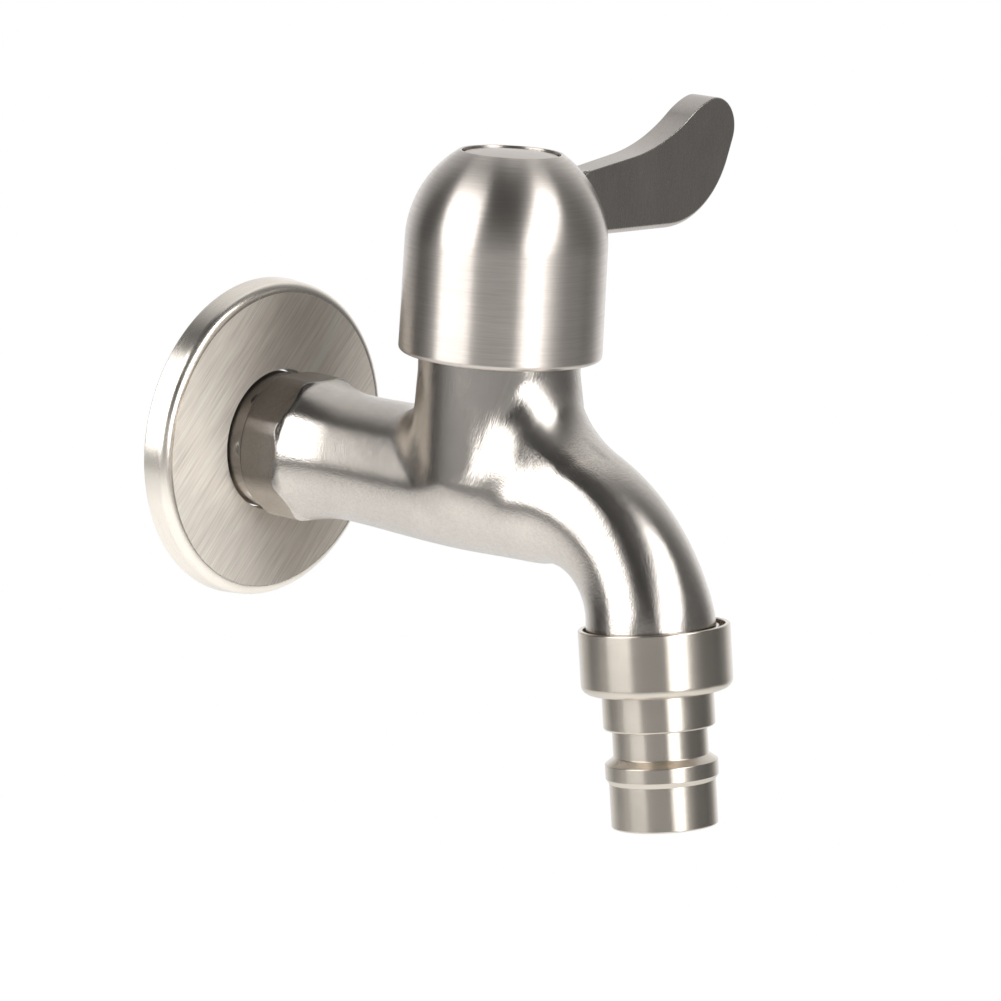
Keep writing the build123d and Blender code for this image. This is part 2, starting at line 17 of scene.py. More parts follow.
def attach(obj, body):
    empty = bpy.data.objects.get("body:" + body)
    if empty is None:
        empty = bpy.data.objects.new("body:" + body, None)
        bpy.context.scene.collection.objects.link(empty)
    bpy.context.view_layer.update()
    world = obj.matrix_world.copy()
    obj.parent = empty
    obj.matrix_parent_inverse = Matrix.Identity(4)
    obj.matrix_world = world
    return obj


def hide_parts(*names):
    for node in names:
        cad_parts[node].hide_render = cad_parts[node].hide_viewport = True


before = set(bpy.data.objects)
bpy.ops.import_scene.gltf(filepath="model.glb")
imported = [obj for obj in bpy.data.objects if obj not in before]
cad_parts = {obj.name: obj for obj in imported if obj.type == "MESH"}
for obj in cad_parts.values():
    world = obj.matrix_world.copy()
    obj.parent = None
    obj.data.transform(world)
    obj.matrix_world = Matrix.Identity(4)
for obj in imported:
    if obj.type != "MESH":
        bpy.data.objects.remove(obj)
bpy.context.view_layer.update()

bl_info = {
    "name": "Washing machine tap",
    "version": (1, 0, 0),
    "blender": (4, 5, 0),
    "location": "3D View > Sidebar > Tap",
    "description": "Builds a wall tap of brushed steel and the studio round it",
    "category": "Object",
}

mm = 0.001


def length(name, millimetres, description):
    """A size that a user would change."""
    return FloatProperty(name=name, default=millimetres * mm, description=description, unit="LENGTH", precision=5)


def angle(name, turn, description):
    return FloatProperty(name=name, default=radians(turn), description=description, unit="ROTATION")


def share(name, value, description):
    return FloatProperty(name=name, default=value, description=description, min=0, max=1, subtype="FACTOR")


def colour(name, value, description):
    return FloatVectorProperty(
        name=name, default=value, description=description, size=3, min=0, max=1, subtype="COLOR"
    )


def power(name, value, description):
    return FloatProperty(name=name, default=value, description=description, unit="POWER")


def in_mm(group, *names):
    """Lengths of a group of sizes in millimetres."""
    return [getattr(group, name) / mm for name in names]


class TapBodySizes(PropertyGroup):
    bonnet_x: length("Bonnet", 53.45, "How far the axis of the handle stands out of the wall")
    thread_radius: length("Thread radius", 10.48, "Over the crests of the inlet and spout threads")
    thread_pitch: length("Thread pitch", 1.814, "Fourteen turns to the inch")
    thread_depth: length("Thread depth", 1.1, "From crest to root")
    thread_lead: length("Thread lead", 1.2, "Bevel at the end of a thread")
    shank: length("Shank", 15.0, "How far the inlet reaches into the wall")
    spigot: length("Spigot", 5.2, "End of the spout, down from the nut's upper edge")
    collar_radius: length("Collar radius", 11.75, "Between the shank and the octagon")
    waist_x: length("Waist", 25.0, "Where the octagon has run out into the barrel")
    waist_radius: length("Waist radius", 10.72, "Of the casting at the waist")
    barrel_radius: length("Barrel radius", 11.5, "Where the barrel is widest")
    spout_radius: length("Spout radius", 9.65, "Where the spout is thinnest, in the bend")
    neck_radius: length("Neck radius", 13.25, "Under the dome")
    bend_x: length("Bend start", 66.58, "Where the spout starts to turn down")
    bend_z: length("Bend centre", -21.174, "Level of the middle of the spout's bend")
    bend_radius: length("Bend radius", 22.0, "Of the spout's middle line")
    ridge_width: length("Ridge width", 2.1, "Of the soft ridges along the spout and up the neck")
    ridge_height: length("Ridge height", 0.13, "Of the same ridges")
    octagon_flats: length("Octagon", 24.0, "Across the flats for the spanner")
    octagon_round: length("Octagon rounding", 3.6, "Of the edges between the flats")


class TapSpoutSizes(PropertyGroup):
    outlet_x: length("Outlet", 88.78425, "How far the outlet stands out of the wall")
    outlet_z: length("Outlet level", -16.59994, "Level of the nut's upper edge on its axis")
    outlet_tilt: angle("Outlet tilt", 8.63, "How far the nozzle leans forward")
    nut_radius: length("Nut radius", 12.28, "Outside of the union nut")
    nut_height: length("Nut height", 10.4, "Along the axis of the nozzle")
    nut_round: length("Nut rounding", 1.5, "Round the lower edge of the nut")
    tube_radius: length("Tube radius", 8.62, "Outside of the nozzle's tube")
    nozzle_end: length("Nozzle end", 32.395, "Down the axis from the nut's upper edge")


class TapFlangeSizes(PropertyGroup):
    radius: length("Radius", 27.5, "Outside of the flange, on the wall")
    depth: length("Depth", 4.8, "How far the face stands out of the wall")
    rounding: length("Rounding", 1.9, "In from the rim to the flat face")
    hole_radius: length("Hole radius", 12.1, "Round the collar")
    lip: length("Lip", 3.4, "How far the edge of the hole is turned in")
    sheet: length("Sheet", 0.8, "Thickness of the pressed sheet")


class TapHandleSizes(PropertyGroup):
    rim_radius: length("Rim radius", 16.75, "Dome, at its lower edge")
    bottom: length("Bottom", 22.3, "Level of the dome's lower edge")
    top: length("Top", 55.63, "Level of the dome's upper edge")
    arc_radius: length("Shoulder arc", 18.0, "Curve of the dome up to its top")
    plug_radius: length("Plug radius", 7.75, "The disc in the top of the dome")
    plug_crown: length("Plug crown", 0.6, "How far the disc bulges")
    lever_root: length("Lever root thickness", 4.0, "At the dome")
    lever_tip: length("Lever tip thickness", 5.8, "At the far end")


class TapFinish(PropertyGroup):
    body: colour("Body", (0.65, 0.604, 0.556), "Satin steel of the casting")
    flange: colour("Flange", (0.95, 0.885, 0.80), "Brushed sheet of the flange")
    dome: colour("Dome", (0.66, 0.61, 0.562), "Steel brushed round the dome")
    lever: colour("Lever", (0.58, 0.538, 0.498), "Satin steel of the lever")
    turned: colour("Turned", (0.69, 0.632, 0.556), "Turned steel of the nut and the nozzle")
    body_roughness: share("Body roughness", 0.205, "Of the casting")
    dome_roughness: share("Dome roughness", 0.32, "Of the dome")
    rim_roughness: share("Rim roughness", 0.26, "Of the flange's rounded rim")
    flange_roughness: share("Flange roughness", 0.55, "Of the flange")
    lever_roughness: share("Lever roughness", 0.28, "Of the lever")
    turned_roughness: share("Turned roughness", 0.25, "Of the nut and the nozzle")
    brass: colour("Brass", (0.72, 0.52, 0.24), "Parts of the cartridge")
    rubber: colour("Rubber", (0.03, 0.03, 0.03), "Seals and washers")


class TapStudio(PropertyGroup):
    azimuth: angle("Camera azimuth", 39.748, "Round the tap, from straight at the side")
    elevation: angle("Camera elevation", 11.439, "Above the level")
    roll: angle("Camera roll", 3.262, "Turn of the picture")
    distance: length("Camera distance", 793.965, "Along the view, from the origin")
    aside: length("Camera aside", 42.528, "To the right of the origin")
    lift: length("Camera lift", -8.858, "Above the origin, along the picture's upright")
    lens: FloatProperty(name="Lens", default=166.08, description="Focal length of the camera", unit="CAMERA")
    white: colour("Backdrop", (1.0, 1.0, 1.0), "Behind the tap")
    floor_level: length("Floor", -400.0, "Level of the floor")
    left_power: power("Left light", 2.8, "Tall light left of the camera")
    right_power: power("Right light", 2.8, "Tall light right of the camera")


# Shapes


def corner(previous, here, following, radius, steps):
    """Points and outward normals of a rounded corner of an outline that runs anticlockwise."""
    back = (previous - here).normalized()
    ahead = (following - here).normalized()
    opening = acos(max(-1.0, min(1.0, back.dot(ahead))))
    reach = radius / tan(opening / 2)
    middle = here + (back + ahead).normalized() * (radius / sin(opening / 2))
    start, end = here + back * reach - middle, here + ahead * reach - middle
    sweep = atan2(start.x * end.y - start.y * end.x, start.dot(end))
    sign = 1 if sweep > 0 else -1
    made = []
    for i in range(steps + 1):
        a = sweep * i / steps
        spoke = Vector((start.x * cos(a) - start.y * sin(a), start.x * sin(a) + start.y * cos(a)))
        made.append((middle + spoke, spoke.normalized() * sign))
    return made


def arc(middle, radius, start, end, steps, inwards=False):
    """Points and normals of an arc by its angles in degrees."""
    made = []
    for i in range(steps + 1):
        a = radians(start + (end - start) * i / steps)
        spoke = Vector((cos(a), sin(a)))
        made.append((Vector(middle) + spoke * radius, -spoke if inwards else spoke))
    return made


def outline(corners, steps=5):
    """Closed outline from corners (r, level, rounding) in millimetres; an arc in it is a list of its own."""
    flat = [item if isinstance(item, list) else (Vector(item[:2]), item[2]) for item in corners]

    def near(index, side):
        item = flat[index % len(flat)]
        return item[-side][0] if isinstance(item, list) else item[0]

    made = []
    for i, item in enumerate(flat):
        if isinstance(item, list):
            made += item
        else:
            made += corner(near(i - 1, 1), item[0], near(i + 1, 0), item[1], steps)
    twice_area = sum(p.x * q.y - q.x * p.y for (p, _), (q, _) in zip(made, made[1:] + made[:1]))
    return made if twice_area > 0 else [(point, -normal) for point, normal in reversed(made)]


def turned(name, profile, origin, axis, segments=192):
    """A piece turned from a closed outline of (point, normal) pairs in millimetres, round an axis square to Y."""
    axis, across = Vector(axis).normalized(), Vector((0, 1, 0))
    third = axis.cross(across)
    points, normals, faces = [], [], []
    for s in range(segments):
        a = 2 * pi * s / segments
        out = across * cos(a) + third * sin(a)
        for point, normal in profile:
            points.append(Vector(origin) + (out * point.x + axis * point.y) * mm)
            normals.append(out * normal.x + axis * normal.y)
    rows = len(profile)
    for s in range(segments):
        here, following = s * rows, (s + 1) % segments * rows
        for r in range(rows):
            up = (r + 1) % rows
            faces.append((here + r, following + r, following + up, here + up))
    return piece(name, points, faces, normals)


def placed(name, data):
    made = bpy.data.objects.new(name, data)
    bpy.context.scene.collection.objects.link(made)
    return made


def piece(name, points, faces, normals=None):
    mesh = bpy.data.meshes.new(name)
    mesh.from_pydata([tuple(p) for p in points], [], faces)
    mesh.validate()
    mesh.shade_smooth()
    if normals is not None:
        mesh.normals_split_custom_set_from_vertices([tuple(n) for n in normals])
    return placed(name, mesh)


def face_outwards(mesh):
    shape = bmesh.new()
    shape.from_mesh(mesh)
    bmesh.ops.recalc_face_normals(shape, faces=shape.faces)
    shape.to_mesh(mesh)
    shape.free()
    mesh.shade_smooth()


def settle(made, body, slot, material, *nodes):
    """Gives a finished piece its material, its body and the solids that it stands for."""
    made.data.materials.clear()
    made.data.materials.append(material)
    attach(made, body)
    if nodes:
        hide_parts(*nodes)


# Finishes


class Value:
    """An output of a node; arithmetic with it adds the nodes that work it out."""

    def __init__(self, tree, socket):
        self.tree, self.socket = tree, socket

    def to(self, operation, *others):
        return value(self.tree, "ShaderNodeMath", dict(enumerate((self, *others))), operation=operation)

    def __add__(self, other):
        return self.to("ADD", other)

    def __sub__(self, other):
        return self.to("SUBTRACT", other)

    def __rsub__(self, other):
        return value(self.tree, "ShaderNodeMath", {0: other, 1: self}, operation="SUBTRACT")

    def __mul__(self, other):
        return self.to("MULTIPLY", other)

    def __truediv__(self, other):
        return self.to("DIVIDE", other)

    def clamped(self):
        return self.to("MAXIMUM", 0.0).to("MINIMUM", 1.0)


def feed(tree, socket, given):
    """Link a value to an input, or set the input to a plain number, vector or colour."""
    given = given.socket if isinstance(given, Value) else given
    if isinstance(given, NodeSocket):
        tree.links.new(given, socket)
    else:
        socket.default_value = given


def add(tree, kind, inputs=None, **settings):
    made = tree.nodes.new(kind)
    for name, setting in settings.items():
        setattr(made, name, setting)
    for key, given in (inputs or {}).items():
        feed(tree, made.inputs[key], given)
    return made


def value(tree, kind, inputs=None, output=0, **settings):
    return Value(tree, add(tree, kind, inputs, **settings).outputs[output])


def ranged(tree, given, start, end, interpolation="SMOOTHSTEP"):
    """0 at the start and 1 at the end."""
    inputs = {"Value": given, "From Min": start, "From Max": end}
    return value(tree, "ShaderNodeMapRange", inputs, interpolation_type=interpolation)


def ramp(tree, place, stops):
    """Grey levels by the turn in degrees, from -180 to 180."""
    made = add(tree, "ShaderNodeValToRGB", {"Fac": place})
    band = made.color_ramp
    while len(band.elements) > 1:
        band.elements.remove(band.elements[0])
    for i, (turn, level) in enumerate(stops):
        at = turn / 360 + 0.5
        stop = band.elements[0] if i == 0 else band.elements.new(at)
        stop.position = at
        stop.color = (level, level, level, 1)
    return Value(tree, made.outputs[0])


def blend(tree, factor, first, second):
    return value(tree, "ShaderNodeMix", {0: factor, 6: first, 7: second}, output=2, data_type="RGBA")


def vector(tree, operation, *values):
    output = "Value" if operation == "DOT_PRODUCT" else "Vector"
    return value(tree, "ShaderNodeVectorMath", dict(enumerate(values)), output, operation=operation)


def scaled(tree, given, factor):
    return value(tree, "ShaderNodeVectorMath", {0: given, "Scale": factor}, operation="SCALE")


def shader(name):
    """A new material with its tree, its main shader and the place on the object."""
    material = bpy.data.materials.new(name)
    material.use_nodes = True
    tree = material.node_tree
    tree.nodes.clear()
    bsdf = add(tree, "ShaderNodeBsdfPrincipled")
    add(tree, "ShaderNodeOutputMaterial", {"Surface": bsdf.outputs[0]})
    return material, tree, bsdf, value(tree, "ShaderNodeTexCoord", output="Object")


def grain(tree, place, turn, sizes, centre=(0, 0, 0), detail=2.0):
    """Noise whose grains have these sizes in millimetres along the pattern's own axes."""
    inputs = {"Vector": place, "Location": centre, "Rotation": turn, "Scale": [size * mm for size in sizes]}
    mapped = value(tree, "ShaderNodeMapping", inputs, vector_type="TEXTURE")
    inputs = {"Vector": mapped, "Scale": 1.0, "Detail": detail, "Roughness": 0.55}
    return value(tree, "ShaderNodeTexNoise", inputs, "Fac")


def even_grain(tree, place, size, detail=2.0):
    return grain(tree, place, (0, 0, 0), (size,) * 3, detail=detail)


def surface(tree, bsdf, tint, shade, roughness, height, relief, metallic=1.0):
    """Colour, roughness and relief, in millimetres, of a finish."""
    feed(tree, bsdf.inputs["Base Color"], scaled(tree, tint, shade))
    feed(tree, bsdf.inputs["Roughness"], roughness)
    bump = value(tree, "ShaderNodeBump", {"Height": height, "Strength": 1.0, "Distance": relief * mm})
    feed(tree, bsdf.inputs["Normal"], bump)
    bsdf.inputs["Metallic"].default_value = metallic


def brush(tree, bsdf, tint, roughness, pattern, cloud, strength, spread, relief, painted_shade=None):
    """A brushed surface from its line pattern and its soft clouds; painted shade, where it is given, darkens its
    colour.
    """
    cloud = (cloud - 0.5) * 0.25
    shade = (pattern - 0.5) * strength + 1.0 + cloud
    uneven = (pattern - 0.5) * -spread + cloud * 0.12 + roughness
    surface(tree, bsdf, tint, shade * painted_shade if painted_shade else shade, uneven, pattern, relief)


def comb(tree, bsdf, amount, direction):
    """The shine spreads across the brush lines, which run along the direction."""
    spaces = {"vector_type": "VECTOR", "convert_from": "OBJECT", "convert_to": "WORLD"}
    feed(tree, bsdf.inputs["Tangent"], value(tree, "ShaderNodeVectorTransform", {"Vector": direction}, **spaces))
    bsdf.inputs["Anisotropic"].default_value = amount
    bsdf.inputs["Anisotropic Rotation"].default_value = 0.25


def steel(
    name,
    tint,
    roughness,
    centre=(0, 0, 0),
    turn=(0, 0, 0),
    around=False,
    fine=(6.0, 0.16),
    coarse=(14.0, 0.6),
    strength=0.5,
    spread=0.16,
    relief=0.012,
    combed=0.6,
    shine_turn=None,
):
    """Brushed steel. The lines run round the pattern's Z, or else along its X, after the turn."""
    material, tree, bsdf, place = shader(name)

    def sizes(along, across):
        return (along, along if around else across, across)

    thin = grain(tree, place, turn, sizes(*fine), centre)
    wide = grain(tree, place, turn, sizes(*coarse), centre)
    cloud = grain(tree, place, turn, sizes(14.0, 9.0), centre, detail=3.0)
    brush(tree, bsdf, tint, roughness, thin * 0.6 + wide * 0.4, cloud, strength, spread, relief)
    turned_by = Euler(shine_turn or turn).to_matrix()
    if around:
        spoke = vector(tree, "SUBTRACT", place, tuple(centre))
        direction = vector(tree, "CROSS_PRODUCT", tuple(turned_by @ Vector((0, 0, 1))), spoke)
    else:
        direction = vector(tree, "ADD", tuple(turned_by @ Vector((1, 0, 0))), (0, 0, 0))
    comb(tree, bsdf, combed, direction)
    return material


def plain(name, tint, roughness, metallic=0.0, speck=0.6, strength=0.12, relief=0.01):
    """Brass, rubber, ceramic and plastic of the inner parts, with their grain."""
    material, tree, bsdf, place = shader(name)
    fine = even_grain(tree, place, speck, detail=4.0)
    off = fine * 0.5 + even_grain(tree, place, speck * 9) * 0.5 - 0.5
    surface(tree, bsdf, tint, off * (strength * 2) + 1.0, off * 0.2 + roughness, fine, relief, metallic)
    return material


def outlet(scene):
    """Where the nozzle axis starts, and its direction down."""
    sizes = scene.tap_spout
    tilt = sizes.outlet_tilt
    return Vector((sizes.outlet_x, 0, sizes.outlet_z)), Vector((sin(tilt), 0, -cos(tilt)))


def turned_steel(name, scene):
    """Bright steel turned round the axis of the nozzle."""
    finish = scene.tap_finish
    return steel(
        name,
        finish.turned,
        finish.turned_roughness,
        centre=outlet(scene)[0],
        turn=(0, -scene.tap_spout.outlet_tilt, 0),
        around=True,
        fine=(6.0, 0.12),
        coarse=(12.0, 0.5),
        strength=0.15,
        spread=0.06,
        relief=0.004,
        combed=0.75,
    )


def solid_faces(node):
    """Merged points, triangles and corner normals of a CAD node's mesh, as arrays in millimetres."""
    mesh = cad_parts[node].data
    mesh.calc_loop_triangles()
    points = np.empty(len(mesh.vertices) * 3)
    mesh.vertices.foreach_get("co", points)
    points = points.reshape(-1, 3) / mm
    corners = np.empty(len(mesh.loop_triangles) * 3, int)
    mesh.loop_triangles.foreach_get("loops", corners)
    owners = np.empty(len(mesh.loops), int)
    mesh.loops.foreach_get("vertex_index", owners)
    normals = np.empty(len(mesh.loops) * 3)
    mesh.corner_normals.foreach_get("vector", normals)
    normals = normals.reshape(-1, 3)[corners]
    merged, index = np.unique(np.round(points, 4), axis=0, return_inverse=True)
    triangles = index.reshape(-1)[owners[corners]].reshape(-1, 3)
    whole = (
        (triangles[:, 0] != triangles[:, 1])
        & (triangles[:, 1] != triangles[:, 2])
        & (triangles[:, 2] != triangles[:, 0])
    )
    return merged, triangles[whole], normals.reshape(-1, 3, 3)[whole]


def refined(points, triangles, normals):
    """Every triangle split in four, the new points lifted on to the curved surface that the normals describe."""
    count = len(points)
    starts = triangles[:, [0, 1, 2]].reshape(-1)
    ends = triangles[:, [1, 2, 0]].reshape(-1)
    low, high = np.minimum(starts, ends), np.maximum(starts, ends)
    keys, index = np.unique(low.astype(np.int64) * count + high, return_inverse=True)
    index = index.reshape(-1)
    here, following = normals.reshape(-1, 3), normals[:, [1, 2, 0]].reshape(-1, 3)
    swap = (starts > ends)[:, None]
    at_low, at_high = np.where(swap, following, here), np.where(swap, here, following)
    mean_low, mean_high = np.zeros((len(keys), 3)), np.zeros((len(keys), 3))
    np.add.at(mean_low, index, at_low)
    np.add.at(mean_high, index, at_high)
    shared = np.bincount(index, minlength=len(keys))[:, None]
    smooth = (np.linalg.norm(mean_low, axis=1) > shared[:, 0] * 0.999) & (
        np.linalg.norm(mean_high, axis=1) > shared[:, 0] * 0.999
    )
    mean_low, mean_high = mean_low / shared, mean_high / shared
    first, last = points[keys // count], points[keys % count]
    run = last - first
    lift = (run * mean_low).sum(1)[:, None] * mean_low - (run * mean_high).sum(1)[:, None] * mean_high
    middles = (first + last) / 2 - lift / 8 * smooth[:, None]
    both = here + following
    along = points[ends] - points[starts]
    bend = 2 * (along * both).sum(1) / np.maximum((along * along).sum(1), 1e-12)
    between = both - bend[:, None] * along
    between /= np.maximum(np.linalg.norm(between, axis=1), 1e-9)[:, None]
    between = between.reshape(-1, 3, 3)
    corner_of = index.reshape(-1, 3) + count
    a, b, c = triangles.T
    ab, bc, ca = corner_of.T
    split = np.concatenate([np.stack(t, 1) for t in ((a, ab, ca), (ab, b, bc), (ca, bc, c), (ab, bc, ca))])
    na, nb, nc = normals[:, 0], normals[:, 1], normals[:, 2]
    nab, nbc, nca = between[:, 0], between[:, 1], between[:, 2]
    tops = np.concatenate(
        [np.stack(t, 1) for t in ((na, nab, nca), (nab, nb, nbc), (nca, nbc, nc), (nab, nbc, nca))]
    )
    return np.concatenate([points, middles]), split, tops


def rising(given, start, end):
    """A soft step from 0 to 1."""
    s = np.clip((given - start) / (end - start), 0, 1)
    return s * s * (3 - 2 * s)


def tube_distance(points, sizes):
    """Millimetres outside the round skin of the barrel and the spout."""
    x, y, z = points.T
    bend_x, bend_z, bend, waist = in_mm(sizes, "bend_x", "bend_z", "bend_radius", "waist_x")
    narrow, wide, thin = in_mm(sizes, "waist_radius", "barrel_radius", "spout_radius")
    widest_at, taper = 0.65, 0.2
    thinnest_at, outlet_at, at_start, at_outlet = 45, 78, 1.65, 0.95
    degree = 0.384
    part = np.clip((x - waist) / (bend_x - waist), 0, 1)
    turn = np.where(z < bend_z, 0, np.degrees(np.arctan2(x - bend_x, z - bend_z)))

    def radius(run, turn):
        barrel = narrow + (wide - narrow) * rising(run, 0, widest_at)
        barrel = barrel - taper * np.clip((run - widest_at) / (1 - widest_at), 0, 1)
        first = np.clip((thinnest_at - turn) / thinnest_at, 0, 1) ** 2 * at_start
        last = np.clip((turn - thinnest_at) / (outlet_at - thinnest_at), 0, 1) ** 2 * at_outlet
        return np.where(turn > 0, thin + first + last, barrel)

    # Averaged over a few millimetres along the run, so that barrel and bend meet without an edge
    run = (x - bend_x) / (bend_x - waist)
    even = sum(
        radius(
            np.clip(1 + run + off / (bend_x - waist), 0, 1),
            np.where(x < bend_x, (x - bend_x + off) / degree, turn + off / degree),
        )
        for off in (-2.0, -1.0, 0.0, 1.0, 2.0)
    ) / 5
    straight = np.hypot(y, z - (bend_z + bend) * part**3 * (4 - 3 * part)) - even
    bent = np.hypot(np.hypot(x - bend_x, z - bend_z) - bend, y) - even
    return np.where((x < bend_x) | (z < bend_z), straight, bent)


def neck_distance(points, sizes):
    """Millimetres outside the neck, which narrows a little downwards and turns in under the barrel's middle."""
    x, y, z = points.T
    bonnet, widest = in_mm(sizes, "bonnet_x", "neck_radius")
    widest_level, turn_level, end_level, turn_in, slope = 17, 3, -8.0, 12.5, 0.03
    radius = widest + slope * (np.maximum(z, turn_level) - widest_level)
    under = np.minimum(z - turn_level, 0)
    radius = radius - turn_in + np.sqrt(np.maximum(turn_in**2 - under * under, 0))
    return np.maximum(np.hypot(x - bonnet, y) - radius, end_level - z)


def slopes(distance, points, sizes, step=0.02):
    units = np.eye(3) * step
    return np.stack(
        [(distance(points + unit, sizes) - distance(points - unit, sizes)) / (2 * step) for unit in units], axis=1
    )


def skin_distance(points, sizes):
    """Millimetres outside the casting's smooth skin; the hollow blend is widest where the spout leaves the neck."""
    tube, neck = tube_distance(points, sizes), neck_distance(points, sizes)
    x, _, z = points.T
    least, before, behind, below = 1.7, 6.6, 4.2, 2.0
    ahead, back = rising(x, 56, 67), rising(x, 49, 43)
    reach = least + rising(z, 0, 10) * (before * ahead + behind * back) + below * ahead * rising(z, -8, 2)
    mix = np.maximum(reach - np.abs(tube - neck), 0)
    return np.minimum(tube, neck) - mix * mix / (4 * reach)


def ridge_path(sizes):
    """Points of the ridge on the lever's far side, from the nut up the spout and the neck, in millimetres."""
    # Degrees round the bend, degrees round the spout, and millimetres from its middle line
    marks = ((79, 53, 10.6), (70, 53, 10.3), (60, 53, 9.95), (45, 52, 9.65), (34, 51.5, 9.95), (26, 50.4, 10.3))
    marks += ((18, 48.5, 10.75), (12, 47.5, 11.0), (8, 46, 11.2))
    # Level, millimetres from the neck's axis, and degrees round it
    upper = ((12.2, 14.9, 26), (15.0, 13.4, 25), (18.0, 13.3, 25), (23.0, 13.3, 24), (30.0, 13.3, 24))
    bend, x, z, bonnet = in_mm(sizes, "bend_radius", "bend_x", "bend_z", "bonnet_x")
    made = []
    for turn, section, reach in marks:
        t, a = radians(turn), radians(section)
        out = bend + reach * cos(a)
        made.append((x + out * sin(t), reach * sin(a), z + out * cos(t)))
    for level, reach, turn in upper:
        t = radians(turn)
        made.append((bonnet + reach * cos(t), reach * sin(t), level))
    made = np.array(made)
    steps = np.concatenate([[0], np.cumsum(np.linalg.norm(np.diff(made, axis=0), axis=1))])
    even = np.arange(0, steps[-1], 0.25)
    return np.stack([np.interp(even, steps, made[:, i]) for i in range(3)], axis=1)


def ridge(points, sizes):
    """How far the soft ridges stand proud at an array of points in millimetres, and the slope there."""
    path = ridge_path(sizes)
    width, height = in_mm(sizes, "ridge_width", "ridge_height")
    fade_in, flat_end, fade_out, batch = 14.0, 60, 40.0, 4000
    side = np.where(points[:, 1] < 0, -1.0, 1.0)
    folded = points.copy()
    folded[:, 1] *= side
    raised, slope = np.zeros(len(points)), np.zeros((len(points), 3))
    near = np.flatnonzero((folded[:, 0] > 60) & (folded[:, 2] > -22) & (folded[:, 1] > 0.5))
    for part in np.array_split(near, max(1, len(near) // batch)):
        off = folded[part][:, None] - path[None]
        closest = np.argmin((off * off).sum(-1), axis=1)
        off = off[np.arange(len(part)), closest]
        end = np.minimum(closest / fade_in, 1) * np.clip((len(path) - flat_end - closest) / fade_out, 0, 1)
        proud = height * end * np.exp(-(off * off).sum(-1) / width**2)
        raised[part] = proud
        slope[part] = -2 * proud[:, None] / width**2 * off
    slope[:, 1] *= side
    return raised, slope


class TAP_OT_body(Operator):
    """Build the casting: octagon, barrel, neck and spout, with the ridges that grinding left on the spout"""

    bl_idname = "tap.body"
    bl_label = "Body"

    def execute(self, context):
        sizes = context.scene.tap_body
        waist, shank, spigot, crest = in_mm(sizes, "waist_x", "shank", "spigot", "thread_radius")
        inlet_bore, spigot_bore = 7.22, 6.22
        skin_reach, same_way = 2.2, 0.6
        points, triangles, normals = solid_faces("tap_body")
        place, down = outlet(context.scene)
        origin, axis = np.array(place) / mm, np.array(down)
        along = (points - origin) @ axis
        off = np.linalg.norm(points - origin - along[:, None] * axis, axis=1)
        x = points[:, 0]
        # Left out: the shank, collar and octagon, the threaded end of the spout, and the two end faces
        inlet = (x < waist + 0.002) & (np.hypot(points[:, 1], points[:, 2]) > inlet_bore + 0.08)
        outer_end = (along > 0.45) & (along < spigot + 0.1) & (off > spigot_bore + 0.13)
        ends = (x < 0.01 - shank) | (np.abs(along - spigot) < 0.01) & (off < crest + 0.12)
        kept = ~np.any([mask[triangles].all(1) for mask in (inlet, outer_end, ends)], axis=0)
        triangles, normals = triangles[kept], normals[kept]

        used, triangles = np.unique(triangles, return_inverse=True)
        points, triangles, normals = refined(points[used], triangles.reshape(-1, 3), normals)

        # Let the outer skin flow, then raise the ridges on it and turn its normals with them
        distance = skin_distance(points, sizes)
        facing = slopes(skin_distance, points, sizes)
        outer = (np.abs(distance)[triangles] < skin_reach).all(1)
        outer &= ((facing[triangles] * normals).sum(-1) > same_way).all(1)
        moving = np.unique(triangles[outer])
        for _ in range(4):
            slope = slopes(skin_distance, points[moving], sizes)
            step = skin_distance(points[moving], sizes) / (slope * slope).sum(1)
            points[moving] -= slope * step[:, None]
        facing = np.zeros_like(points)
        facing[moving] = slopes(skin_distance, points[moving], sizes)
        facing[moving] /= np.linalg.norm(facing[moving], axis=1)[:, None]
        raised, slope = ridge(points, sizes)
        slope -= facing * (slope * facing).sum(1)[:, None]
        points = points + facing * raised[:, None]
        facing = facing - slope
        facing /= np.maximum(np.linalg.norm(facing, axis=1), 1e-9)[:, None]
        normals = np.where(outer[:, None, None], facing[triangles], normals)

        skin, skin_faces, skin_corners = octagon_skin(sizes)
        faces = [tuple(t) for t in triangles] + [tuple(i + len(points) for i in face) for face in skin_faces]
        corners = list(normals.reshape(-1, 3)) + skin_corners
        mesh = bpy.data.meshes.new("tap_casting")
        mesh.from_pydata([tuple(p * mm) for p in points] + [tuple(p * mm) for p in skin], [], faces)
        mesh.shade_smooth()
        mesh.normals_split_custom_set([tuple(n) for n in corners])
        material = casting(context.scene)
        settle(placed("tap_casting", mesh), "tap", "body_steel", material, "tap_body")

        turn = Vector((-1, 0, 0)).rotation_difference(down).to_matrix().to_4x4()
        for name, length_, bore, where in (
            ("inlet_thread", 16.4, inlet_bore, Matrix.Translation((-sizes.shank, 0, 0))),
            ("spout_thread", 4.8, spigot_bore, Matrix.Translation(place + down * sizes.spigot) @ turn),
        ):
            made = male_thread(name, sizes, length_ * mm, bore * mm, material)
            made.data.transform(where)
            settle(made, "tap", "body_steel", material, "tap_body")
        return {"FINISHED"}


